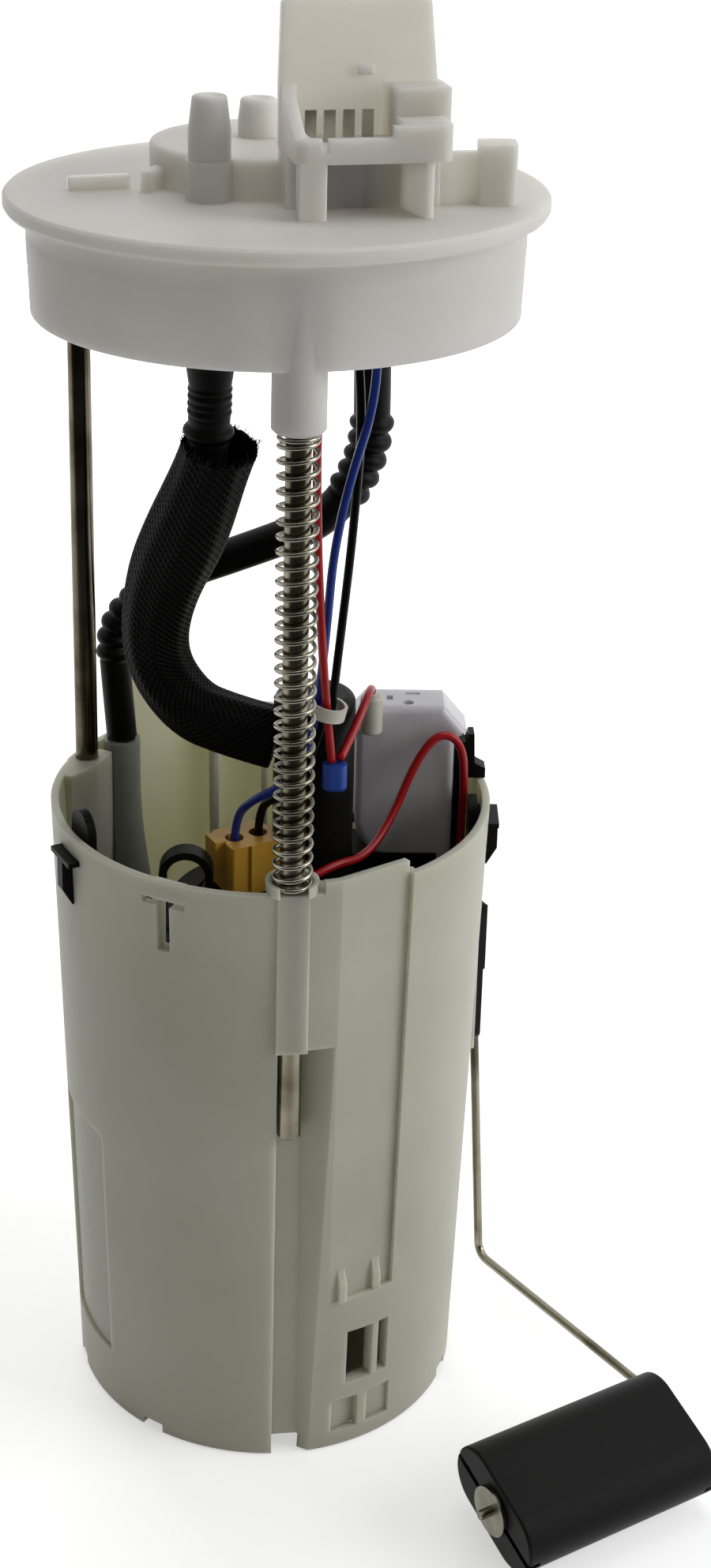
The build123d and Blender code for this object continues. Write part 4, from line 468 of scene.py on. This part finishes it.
# %% Put the finishes on the CAD nodes
FINISH_OF = {
    "pot": ["reservoir", "jet_pump_body"],
    "nylon": ["flange"],
    "black": ["pump_carrier", "pump_inlet_cap", "pump_outlet_cap", "pump_impeller",
              "outlet_elbow", "sender_contact", "sender_frame", "sender_hub"],
    "ivory": ["suppressor_grommet", "cable_tie"],
    "tube": ["return_tube"],
    "lilac": ["suppressor_housing"],
    "yellow": ["pump_connector"],
    "blue_cap": ["splice_cap"],
    "rubber": ["outlet_check_valve", "upper_isolator", "lower_isolator", "foot_valve"],
    "foam": ["float_body"],
    "card": ["sender_card"],
    "magnet": ["pump_magnets", "pump_brushes", "pump_armature"],
    "mesh": ["inlet_strainer"],
    "rod": ["front_guide_rod", "pump_shaft"],
    "left_rod": ["left_guide_rod"],
    "arm": ["float_arm", "float_retainer"],
    "case": ["pump_case", "pump_cover_plate"],
    "contact": ["flange_terminals", "pump_terminals", "pump_commutator", "jet_nozzle", "sender_wiper"],
}
for key, names in FINISH_OF.items():
    for name in names:
        slots = nodes[name].data.materials
        slots.clear()
        slots.append(finish[key])
print("nodes finished:", sum(len(names) for names in FINISH_OF.values()))

# %% [markdown]
# ## The open deck of the pump carrier
# The black deck holds the pump in the middle of the pot. The CAD deck is a full disc, which hides the cream
# wall behind it, but the real one is cut away at the back and left, where fuel and the return tube pass.
# Deleting faces would leave it open, so a copy of it is merged into one skin and a Boolean takes away a
# prism. The prism's plan is an arc round the pump and three corners past the wall.

# %% Plan of the window in the deck
DECK_Z = (141.5, 145.5)
PUMP_CENTRE = (0.0, -11.0)
DECK_KEPT_R = 26.0
ARC_START = np.arctan2(21.9, 14.0)
ARC_END = np.arctan2(9.2, -23.9)
ARC_POINTS = 24
PAST_THE_WALL = ((-59.4, -20.2), (-60.0, 60.0), (14.0, 60.0))


def deck_window():
    """Plan points, counter-clockwise: an arc about the pump, (cx + R cos a, cy + R sin a) with a from the
    right of it to the left, and three corners that lie past the pot's wall.
    """
    angle = np.linspace(ARC_START, ARC_END, ARC_POINTS)
    arc = np.array(PUMP_CENTRE) + DECK_KEPT_R * np.column_stack([np.cos(angle), np.sin(angle)])
    return np.concatenate([arc, PAST_THE_WALL])[::-1] * MM


# %% A prism over that plan
def prism(name, plan, low_z, high_z):
    """The plan at two heights, a wall quad between each pair of neighbours, and a cap at each end."""
    count = len(plan)
    low, high = (np.column_stack([plan, np.full(count, z)]) for z in (low_z, high_z))
    step = np.arange(count)
    after = (step + 1) % count
    walls = np.column_stack([step, after, after + count, step + count]).tolist()
    caps = [step[::-1].tolist(), (step + count).tolist()]
    mesh = bpy.data.meshes.new(name)
    mesh.from_pydata(np.concatenate([low, high]).tolist(), [], walls + caps)
    piece = bpy.data.objects.new(name, mesh)
    bpy.context.scene.collection.objects.link(piece)
    return piece


cutter = prism("deck_cutter", deck_window(), DECK_Z[0] * MM, DECK_Z[1] * MM)
print("corners of the window:", len(cutter.data.vertices) // 2)

# %% Merge a copy of the deck into one skin and cut it
SAME_POINT = 1e-6
deck_mesh = nodes["pump_carrier"].data.copy()
skin = bmesh.new()
skin.from_mesh(deck_mesh)
bmesh.ops.remove_doubles(skin, verts=skin.verts, dist=SAME_POINT)
skin.to_mesh(deck_mesh)
skin.free()
deck = bpy.data.objects.new("pump_carrier_open_deck", deck_mesh)
bpy.context.scene.collection.objects.link(deck)
window = deck.modifiers.new("window", "BOOLEAN")
window.object = cutter
window.operation = "DIFFERENCE"
window.solver = "EXACT"
bpy.context.view_layer.update()
settled = bpy.context.evaluated_depsgraph_get()
open_mesh = bpy.data.meshes.new_from_object(deck.evaluated_get(settled))
deck.modifiers.clear()
deck.data = open_mesh
cutter_mesh = cutter.data
bpy.data.objects.remove(cutter)
bpy.data.meshes.remove(cutter_mesh)
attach(deck, "reservoir_assembly")
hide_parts("pump_carrier")
print("deck faces:", len(open_mesh.polygons))

# %% [markdown]
# ## The coil spring
# The spring is a steel wire wound on a helix round the front rod. At each end the last turns lie close,
# so the pitch is small there and even between. Blender's Screw modifier has one pitch only, so the line
# is worked out here, and its height is the sum of the pitch along it. It rides with the reservoir.

# %% The spring's line
ROD_SPOT = (5.497, -53.197)
SPRING_Z = (171.8, 285.7)
SPRING_TURNS = 33
SPRING_R = 4.5
POINTS_PER_TURN = 28
CLOSED_TURNS = 0.4
EASED_TURNS = 1.2
CLOSED_PITCH = 0.33


def spring_line():
    """(x + R cos a, y + R sin a, z) about the rod: a grows evenly, and the rise per turn is a third of
    the middle's in the closed end turns and eases up to it over the next.
    """
    turn = np.linspace(0, SPRING_TURNS, SPRING_TURNS * POINTS_PER_TURN)
    from_end = np.minimum(turn, SPRING_TURNS - turn)
    pitch = np.clip((from_end - CLOSED_TURNS) / EASED_TURNS, CLOSED_PITCH, 1.0)
    height = np.concatenate([[0], np.cumsum((pitch[1:] + pitch[:-1]) / 2)])
    z = SPRING_Z[0] + (SPRING_Z[1] - SPRING_Z[0]) * height / height[-1]
    angle = 2 * np.pi * turn
    x = ROD_SPOT[0] + SPRING_R * np.cos(angle)
    y = ROD_SPOT[1] + SPRING_R * np.sin(angle)
    return np.column_stack([x, y, z]) * MM


# %% Wind the wire
# The flange's slide takes the spring to about half its length.
SPRING_WIRE_R = 0.55
SPRING_WIRE_AROUND = 10
coil = rings(spring_line(), SPRING_WIRE_R * MM, SPRING_WIRE_AROUND)
spring_piece = grid_object("coil_spring", coil)
spring_piece.data.materials.append(finish["spring"])
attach(spring_piece, "reservoir_assembly")
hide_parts("spring")
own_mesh(spring_piece)
print("spring faces:", len(spring_piece.data.polygons))

# %% [markdown]
# ## Wires
# Three wires hang from the socket's blades: red ends in a splice, black and blue go to the yellow plug. Two
# thin red wires run inside the pot. A wire could be a bevelled curve, but a ring carried along the route
# gives the mesh and its UV map at once. They are plain and round, so gloss and bends do the work.

# %% Routes of the wires, from the blades down
WIRE_TOP_Z = 320.7
CELL_Z = 161.8
WIRE_ROUTES = {
    "red_supply_wire": ("red_wire", (
        (11.76, -21.79, WIRE_TOP_Z), (9.9, -26.0, 285.0), (10.6, -26.8, 247.0), (13.3, -26.1, 208.0),
        (15.2, -23.8, 191.0))),
    "black_wire": ("black_wire", (
        (16.10, -21.03, WIRE_TOP_Z), (21.2, -23.0, 290.0), (19.6, -21.9, 254.0), (16.2, -22.0, 218.0),
        (14.4, -21.4, 198.0), (7.6, -21.9, 181.4), (-0.6, -17.6, 177.4), (-3.1, -13.9, 170.6),
        (-3.1, -13.9, CELL_Z))),
    "blue_wire": ("blue_wire", (
        (20.43, -20.26, WIRE_TOP_Z), (27.1, -23.8, 296.2), (15.1, -25.4, 255.2), (13.0, -23.3, 222.0),
        (10.6, -23.5, 197.0), (3.6, -26.4, 185.4), (-5.2, -24.2, 180.0), (-9.1, -17.1, 171.2),
        (-9.1, -17.1, CELL_Z))),
    "red_suppressor_wire": ("red_wire", (
        (17.2, -23.4, 191.4), (21.6, -16.4, 197.6), (25.6, -5.0, 204.4), (26.0, 3.9, 198.0))),
    "red_sender_wire": ("red_wire", (
        (5.5, -30.0, 145.3), (6.8, -28.4, 158.0), (16.0, -23.0, 161.6), (25.0, -13.4, 158.8),
        (32.0, -3.4, 165.6), (38.0, 2.6, 179.0), (44.0, 4.4, 186.6), (50.4, 5.0, 183.0),
        (51.2, 5.3, 168.0), (50.6, 5.4, 148.3))),
}
print("wires:", len(WIRE_ROUTES))

# %% Wires along their routes
WIRE_R = 1.1
WIRE_SPACING = 1.2
WIRE_AROUND = 14
SLIDING_WIRES = ("red_supply_wire", "black_wire", "blue_wire")
for name, (finish_key, route) in WIRE_ROUTES.items():
    line, run = smooth_line(route, WIRE_SPACING)
    wire = grid_object(name + "_cord", rings(line, WIRE_R * MM, WIRE_AROUND), uv=run)
    wire.data.materials.append(finish[finish_key])
    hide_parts(name)
    if name in SLIDING_WIRES:
        across_slide(wire)
    else:
        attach(wire, "reservoir_assembly")
    print(f"{name}: {run[-1] / MM:.0f} mm long")

# %% [markdown]
# ## Ribbed hoses
# Fuel hose for a tank is blown plastic tube. Where it has to bend or to follow the flange it is ribbed, and
# elsewhere it is smooth. Separate rings would leave seams, and bump alone a smooth outline. So the radius
# is a function of the length run: a plain value, plus round lobes between deep narrow valleys over the
# ribbed stretches, faded in and out at their ends.


# %% A radius that follows the ribs
RIB_FADE = 3
RIB_ROUNDNESS = 0.6
RIB_MIDDLE = 0.55


def ribbed(run_mm, stretches, plain_r):
    """r = plain + depth (|sin(pi s / pitch)| to the power 0.6, less 0.55) in each stretch, with s the
    length run in it; a clipped ramp at each end of the stretch fades the ribs in and out.
    """
    radius = np.zeros(len(run_mm)) + plain_r
    for start, end, pitch, depth in stretches:
        inside = np.clip((run_mm - start) / pitch, 0, 1) * np.clip((end - run_mm) / pitch, 0, 1)
        lobes = np.abs(np.sin(np.pi * (run_mm - start) / pitch)) ** RIB_ROUNDNESS
        radius += np.minimum(inside * RIB_FADE, 1) * depth * (lobes - RIB_MIDDLE)
    return radius


# %% A hose between the flange and the pot
HOSE_AROUND = 40


def hose_piece(name, node, line, run, radius_mm):
    """A round tube whose radius changes along it."""
    piece = grid_object(name, rings(line, radius_mm[:, None] * MM, HOSE_AROUND), uv=run)
    piece.data.materials.append(finish["hose"])
    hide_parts(node)
    across_slide(piece)
    print(f"{node}: {run[-1] / MM:.0f} mm long")


# %% Supply hose: from the flange's port to the pump's outlet
# It is a little wider at its top, down to the first ribs. Ribs: start, end, pitch, depth.
SUPPLY_ROUTE = (
    (-15.6, -15.0, 305.7), (-14.8, -14.6, 276.0), (-19.2, -7.4, 250.5), (-28.4, -1.8, 229.0),
    (-30.6, 0.6, 209.0), (-21.5, -2.2, 195.4), (-10.0, -6.0, 192.4), (1.2, -8.35, 190.24),
)
SUPPLY_R = 5.15
SUPPLY_TOP_EXTRA = 1.0
SUPPLY_TAPER = (13.5, 20.5)
SUPPLY_RIBS = ((20.0, 28.5, 1.95, 0.7), (29.6, 34.4, 4.8, 3.4))
SUPPLY_SPACING = 0.3
line, run = smooth_line(SUPPLY_ROUTE, SUPPLY_SPACING)
plain_r = np.interp(run / MM, SUPPLY_TAPER, (SUPPLY_R + SUPPLY_TOP_EXTRA, SUPPLY_R))
hose_piece("supply_hose_ribbed", "supply_hose", line, run,
           ribbed(run / MM, SUPPLY_RIBS, plain_r))

# %% Return hose: bellows under the flange and above the pale tube
# The taper and the lower bellows are counted back from the hose's end.
RETURN_ROUTE = (
    (24.0, 15.0, 305.7), (24.6, 15.2, 279.0), (24.8, 16.6, 258.6), (14.5, 18.0, 240.0),
    (-7.0, 22.6, 229.6), (-27.5, 26.6, 220.6), (-43.0, 28.6, 207.0), (-41.8, 27.9, 189.5),
    (-40.6, 27.6, 173.7),
)
RETURN_TOP_R = 4.7
RETURN_LOW_R = 4.1
RETURN_TAPER = (60, 30)
UPPER_BELLOWS = (36.0, 61.0, 4.8, 2.3)
LOWER_BELLOWS = (58, 22, 3.9, 1.7)
RETURN_SPACING = 0.45
line, run = smooth_line(RETURN_ROUTE, RETURN_SPACING)
total = run[-1] / MM
taper = (total - RETURN_TAPER[0], total - RETURN_TAPER[1])
plain_r = np.interp(run / MM, taper, (RETURN_TOP_R, RETURN_LOW_R))
lower = (total - LOWER_BELLOWS[0], total - LOWER_BELLOWS[1], *LOWER_BELLOWS[2:])
hose_piece("return_hose_bellows", "return_hose", line, run,
           ribbed(run / MM, (UPPER_BELLOWS, lower), plain_r))

# %% [markdown]
# ## The braided sleeve
# A braided sleeve keeps the supply hose from rubbing on the spring. Its upper end is simply cut: the braid
# opens like a cuff, further on one side, and single strands stick out. Below the cuff it is slack, and
# lower down the hose fills it. Thousands of modelled strands would be heavy, so the wall is one closed
# sheet: the grid runs up the outside, over the cut edge and down the inside. The weave is in the material,
# where it follows the UV map round the bend. Only the loose strands at the edge are real needles.

# %% The sleeve's profile, along and round
# r = R + folds (sines round it, the slower one twisting along it) + slack (a bell curve along it)
# + cuff (a flare that fades away from the cut end, more of it on the open side).
SLEEVE_ROUTE = ((-14.0, -12.9, 269.0),) + SUPPLY_ROUTE[2:]
SLEEVE_SPACING = 0.8
SLEEVE_AROUND = 72
SLEEVE_R = 8.05
SLEEVE_LEAST_R = 6.1
BRAID_WALL = 0.7
WALL_TAPER = 1.2
CUFF_LENGTH = 7.0
CUFF_FLARE = (0.2, 1.0)
CUFF_SIDE = 2.4
CUFF_SLANT = 2.2
CUFF_UNEVEN = 0.35
FOLDS_OF_THREE = 0.16
FOLDS_OF_NINE = 0.2
FOLD_TWIST = 11.0
SLACK = 2.3
SLACK_AT = 27.0
SLACK_LENGTH = 22.0
seeded = np.random.default_rng(4)
line, run = smooth_line(SLEEVE_ROUTE, SLEEVE_SPACING)
along = run[:, None] / MM
angle = np.linspace(0, 2 * np.pi, SLEEVE_AROUND, endpoint=False)[None, :]
cuff = np.exp(-along / CUFF_LENGTH)
open_side = 0.5 + 0.5 * np.cos(angle - CUFF_SIDE)
folds = (FOLDS_OF_THREE * np.sin(3 * angle + along / FOLD_TWIST)
         + FOLDS_OF_NINE * np.sin(9 * angle + 1.0))
slack = SLACK * np.exp(-(((along - SLACK_AT) / SLACK_LENGTH) ** 2))
outer_r = SLEEVE_R + folds + slack + cuff * (CUFF_FLARE[0] + CUFF_FLARE[1] * open_side)
inner_r = np.maximum(outer_r - BRAID_WALL - WALL_TAPER * (1 - cuff), SLEEVE_LEAST_R)
uneven = CUFF_UNEVEN * seeded.standard_normal((1, SLEEVE_AROUND))
edge_slant = cuff * (uneven - CUFF_SLANT * open_side)
print(f"sleeve {run[-1] / MM:.0f} mm long, up to {2 * outer_r.max():.1f} mm across")

# %% The sleeve's wall, one closed sheet
# Its braid is tight: 26 strands round it each way, 560 crossings in a metre.
outer_wall = rings(line, outer_r * MM, SLEEVE_AROUND, edge_slant * MM)
inner_wall = rings(line, inner_r * MM, SLEEVE_AROUND, edge_slant * MM)
wall = np.concatenate([outer_wall[::-1], inner_wall])[:, ::-1]
wall_uv = np.concatenate([run[::-1], run])
# The dark colour goes into the gaps between strands, partly the weave's pattern and partly painted shade.
sleeve_material = material_from(
    "braided_sleeve", braid,
    {"Strands": 26.0, "Per Length": 560.0, "Depth": 0.7,
     "Light": colour("131312"), "Gap Shade": colour("050505")},
    Roughness=0.55, Specular_IOR_Level=0.07,
)
sleeve = grid_object("braided_sleeve_wall", wall, uv=wall_uv, close_along=True)
sleeve.data.materials.append(sleeve_material)
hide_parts("supply_hose_sleeve")
across_slide(sleeve)
print("sleeve faces:", len(sleeve.data.polygons))

# %% Single strands on the cut edge
FRAY_COUNT = 150
FRAY_LEAN = 0.45
FRAY_REACH = (0.8, 2.8)
FRAY_ROOT = 0.8
FRAY_FOOT_R = 0.11
FRAY_TIP_R = 0.05
ACROSS = (0.3, 0.8, 0.5)


def strands(sheet, count):
    """Three-sided needles: each stands at a random place of the sheet's first row and points on past the
    edge, in the edge's own direction plus a random part. A ring of three points round its line is wide
    at the foot and narrow at the tip.
    """
    pick = seeded.integers(0, SLEEVE_AROUND, count)
    foot = sheet[0, pick]
    up = sheet[0, pick] - sheet[3, pick]
    up /= np.linalg.norm(up, axis=1)[:, None]
    lean = up + FRAY_LEAN * seeded.standard_normal((count, 3))
    lean /= np.linalg.norm(lean, axis=1)[:, None]
    reach = seeded.uniform(*FRAY_REACH, count) * MM
    side = np.cross(lean, ACROSS)
    side /= np.linalg.norm(side, axis=1)[:, None]
    other = np.cross(lean, side)
    corner = 2 * np.pi * np.arange(3) / 3
    ring = (np.cos(corner)[None, :, None] * side[:, None]
            + np.sin(corner)[None, :, None] * other[:, None])
    base = foot[:, None] - FRAY_ROOT * MM * lean[:, None] + FRAY_FOOT_R * MM * ring
    tip = (foot + reach[:, None] * lean)[:, None] + FRAY_TIP_R * MM * ring
    points = np.concatenate([base, tip], axis=1).reshape(-1, 3)
    sides = np.array([[0, 1, 4, 3], [1, 2, 5, 4], [2, 0, 3, 5]])
    ends = np.array([[2, 1, 0], [3, 4, 5]])
    first = 6 * np.arange(count)[:, None, None]
    faces = (first + sides).reshape(-1, 4).tolist() + (first + ends).reshape(-1, 3).tolist()
    mesh = bpy.data.meshes.new("frayed_strands")
    mesh.from_pydata(points.tolist(), [], faces)
    piece = bpy.data.objects.new("frayed_strands", mesh)
    bpy.context.scene.collection.objects.link(piece)
    return piece


fray = strands(outer_wall, FRAY_COUNT)
fray.data.materials.append(finish["black"])
across_slide(fray)
print("strands:", FRAY_COUNT)

# %% [markdown]
# ## Floor
# The module stands on a plain pale sheet. A lit floor never looks quite as white as a studio sweep, and
# brighter lamps would only bleach the object. So the floor gives off a light of its own that only the
# camera, clear parts and reflections see. It grows with distance, and the shadow at the foot stays. The
# strip in front is dark in reflections, because polished rods would mirror it and lose their dark edges.


# %% Two helpers for values in node trees
def math_node(tree, operation, first, second):
    """One Math node; a number goes on the socket, an output is linked to it."""
    node = add(tree, "ShaderNodeMath", operation=operation)
    for socket, value in zip(node.inputs, (first, second)):
        if isinstance(value, (int, float)):
            socket.default_value = value
        else:
            tree.links.new(value, socket)
    return node.outputs["Value"]


def eased(tree, value, span, low, high):
    """Smooth step from low to high while value goes through the span."""
    node = add(tree, "ShaderNodeMapRange", interpolation_type="SMOOTHSTEP")
    limits = (("From Min", span[0]), ("From Max", span[1]), ("To Min", low), ("To Max", high))
    for socket, number in limits:
        node.inputs[socket].default_value = number
    tree.links.new(value, node.inputs["Value"])
    return node.outputs["Result"]


# %% The sheet
FLOOR_HALF = 30.0
FLOOR_GAP = 0.0006
corners = FLOOR_HALF * np.array([(-1, -1, 0), (1, -1, 0), (1, 1, 0), (-1, 1, 0)])
floor_mesh = bpy.data.meshes.new("floor")
floor_mesh.from_pydata(corners.tolist(), [], [(0, 1, 2, 3)])
floor = bpy.data.objects.new("floor", floor_mesh)
bpy.context.scene.collection.objects.link(floor)
floor.location.z = -FLOOR_GAP
print("floor:", 2 * FLOOR_HALF, "m wide")

# %% Its paint and its glow
FLOOR_ROUGHNESS = 0.9
FLOOR_PALE = 0.86
FLOOR_DIMMED = 0.1
FRONT_STRIP = (-0.4, -0.15)
GLOW_SPAN = (0.3, 1.4)
GLOW_NEAR = 0.5
GLOW_FAR = 1.0
floor_material = bpy.data.materials.new("pale_floor")
floor_material.use_nodes = True
tree = floor_material.node_tree
shader = tree.nodes["Principled BSDF"]
shader.inputs["Roughness"].default_value = FLOOR_ROUGHNESS
shader.inputs["Specular IOR Level"].default_value = 0.0
shader.inputs["Emission Color"].default_value = (1, 1, 1, 1)
ray = add(tree, "ShaderNodeLightPath")
spot = add(tree, "ShaderNodeTexCoord")
split = add(tree, "ShaderNodeSeparateXYZ")
away = add(tree, "ShaderNodeVectorMath", operation="LENGTH")
tree.links.new(spot.outputs["Object"], split.inputs["Vector"])
tree.links.new(spot.outputs["Object"], away.inputs[0])
in_front = eased(tree, split.outputs["Y"], FRONT_STRIP, 1.0, 0.0)
dimmed = math_node(tree, "MULTIPLY", ray.outputs["Is Glossy Ray"], in_front)
undimmed = math_node(tree, "SUBTRACT", 1.0, dimmed)
direct = math_node(tree, "MAXIMUM", ray.outputs["Is Camera Ray"], ray.outputs["Is Transmission Ray"])
seen = math_node(tree, "MAXIMUM", direct, ray.outputs["Is Glossy Ray"])
grown = eased(tree, away.outputs["Value"], GLOW_SPAN, GLOW_NEAR, GLOW_FAR)
glow = math_node(tree, "MULTIPLY", seen, grown)
paint = add(tree, "ShaderNodeMix", data_type="RGBA")
paint.inputs["A"].default_value = (FLOOR_DIMMED, FLOOR_DIMMED, FLOOR_DIMMED, 1)
paint.inputs["B"].default_value = (FLOOR_PALE, FLOOR_PALE, FLOOR_PALE, 1)
tree.links.new(undimmed, paint.inputs["Factor"])
tree.links.new(paint.outputs["Result"], shader.inputs["Base Color"])
tree.links.new(math_node(tree, "MULTIPLY", glow, undimmed), shader.inputs["Emission Strength"])
floor_mesh.materials.append(floor_material)
print("floor nodes:", len(tree.nodes))

# %% [markdown]
# ## World
# Metal shows what stands round it. In an all-white room a steel rod looks like chalk, so in reflections
# the world fades from white to nearly black toward the front, as in a studio whose front side is unlit.
# The camera and clear parts still see plain white, and everything else gets one low even level.

# %% White to the camera, graded in reflections, a low level on the object
WORLD_FILL = 0.2
DARK_SIDE = (-0.16, -0.98, 0.0)
DARKENING = (0.0, 0.75)
DARKEST = 0.05
world = bpy.data.worlds.new("studio")
bpy.context.scene.world = world
world.use_nodes = True
tree = world.node_tree
background = tree.nodes["Background"]
background.inputs["Color"].default_value = (1, 1, 1, 1)
view = add(tree, "ShaderNodeTexCoord")
toward = add(tree, "ShaderNodeVectorMath", operation="DOT_PRODUCT")
toward.inputs[1].default_value = DARK_SIDE
tree.links.new(view.outputs["Generated"], toward.inputs[0])
backdrop = eased(tree, toward.outputs["Value"], DARKENING, 1.0, DARKEST)
ray = add(tree, "ShaderNodeLightPath")
direct = math_node(tree, "MAXIMUM", ray.outputs["Is Camera Ray"], ray.outputs["Is Transmission Ray"])
mirrored = math_node(tree, "MULTIPLY", ray.outputs["Is Glossy Ray"], backdrop)
not_glossy = math_node(tree, "SUBTRACT", 1.0, ray.outputs["Is Glossy Ray"])
fill = math_node(tree, "MULTIPLY", not_glossy, WORLD_FILL)
level = math_node(tree, "MAXIMUM", math_node(tree, "MAXIMUM", direct, mirrored), fill)
tree.links.new(level, background.inputs["Strength"])
print("world nodes:", len(tree.nodes))

# %% [markdown]
# ## Lamps
# Small lamps give hard shadows and hot spots, so these are large squares. One above lights the plate, one
# on the right shapes the round forms, and one low behind lights the inside of the pot and the left edges.
# The one behind is hidden from reflections, because the smooth plate would show it as a white patch.


# %% Three soft lamps
def soft_lamp(name, place, aim, size, watts):
    """Square area lamp at place, turned to face aim."""
    data = bpy.data.lights.new(name, "AREA")
    data.size = size
    data.energy = watts
    lamp = bpy.data.objects.new(name, data)
    bpy.context.scene.collection.objects.link(lamp)
    lamp.location = place
    lamp.rotation_euler = (Vector(aim) - Vector(place)).to_track_quat("-Z", "Y").to_euler()
    return lamp


LOW_AIM = (0, 0, 0.2)
MIDDLE_AIM = (0, 0, 0.25)
soft_lamp("top_lamp", (0.1, 0.1, 1.3), LOW_AIM, size=0.9, watts=3.4)
soft_lamp("right_lamp", (1.15, -0.25, 0.7), LOW_AIM, size=0.8, watts=7.0)
back_lamp = soft_lamp("back_lamp", (-0.35, 1.2, 0.42), MIDDLE_AIM, size=0.8, watts=10.5)
back_lamp.visible_glossy = False
print("lamps:", len(bpy.data.lights))

# %% [markdown]
# ## Camera
# The camera stands about 0.6 m from the module and looks down at it by 21 degrees. Its focal length is
# written in pixels of the frame and turned into millimetres of sensor. The object isn't centred on the
# lens axis, so the lens is shifted and the camera needs no extra turn, which would tilt upright edges.

# %% Place the camera
FOCAL_PX = 2998.0
FRAME_PX = (900, 1986)
CENTRE_PX = (345.2, 735.6)
SENSOR_MM = 36.0
CAMERA_AT = (0.0, -0.5582, 0.4466)
PITCH_DOWN = 21.21
ROLL = 0.61
camera_data = bpy.data.cameras.new("camera")
camera = bpy.data.objects.new("camera", camera_data)
bpy.context.scene.collection.objects.link(camera)
camera_data.sensor_width = SENSOR_MM
camera_data.lens = FOCAL_PX / FRAME_PX[1] * SENSOR_MM
camera_data.shift_x = (FRAME_PX[0] / 2 - CENTRE_PX[0]) / FRAME_PX[1]
camera_data.shift_y = (CENTRE_PX[1] - FRAME_PX[1] / 2) / FRAME_PX[1]
turned = Matrix.Rotation(radians(90 - PITCH_DOWN), 4, "X") @ Matrix.Rotation(radians(ROLL), 4, "Z")
camera.matrix_world = Matrix.Translation(CAMERA_AT) @ turned
bpy.context.scene.camera = camera
bpy.context.scene.view_settings.view_transform = "Standard"
print(f"lens {camera_data.lens:.1f} mm")
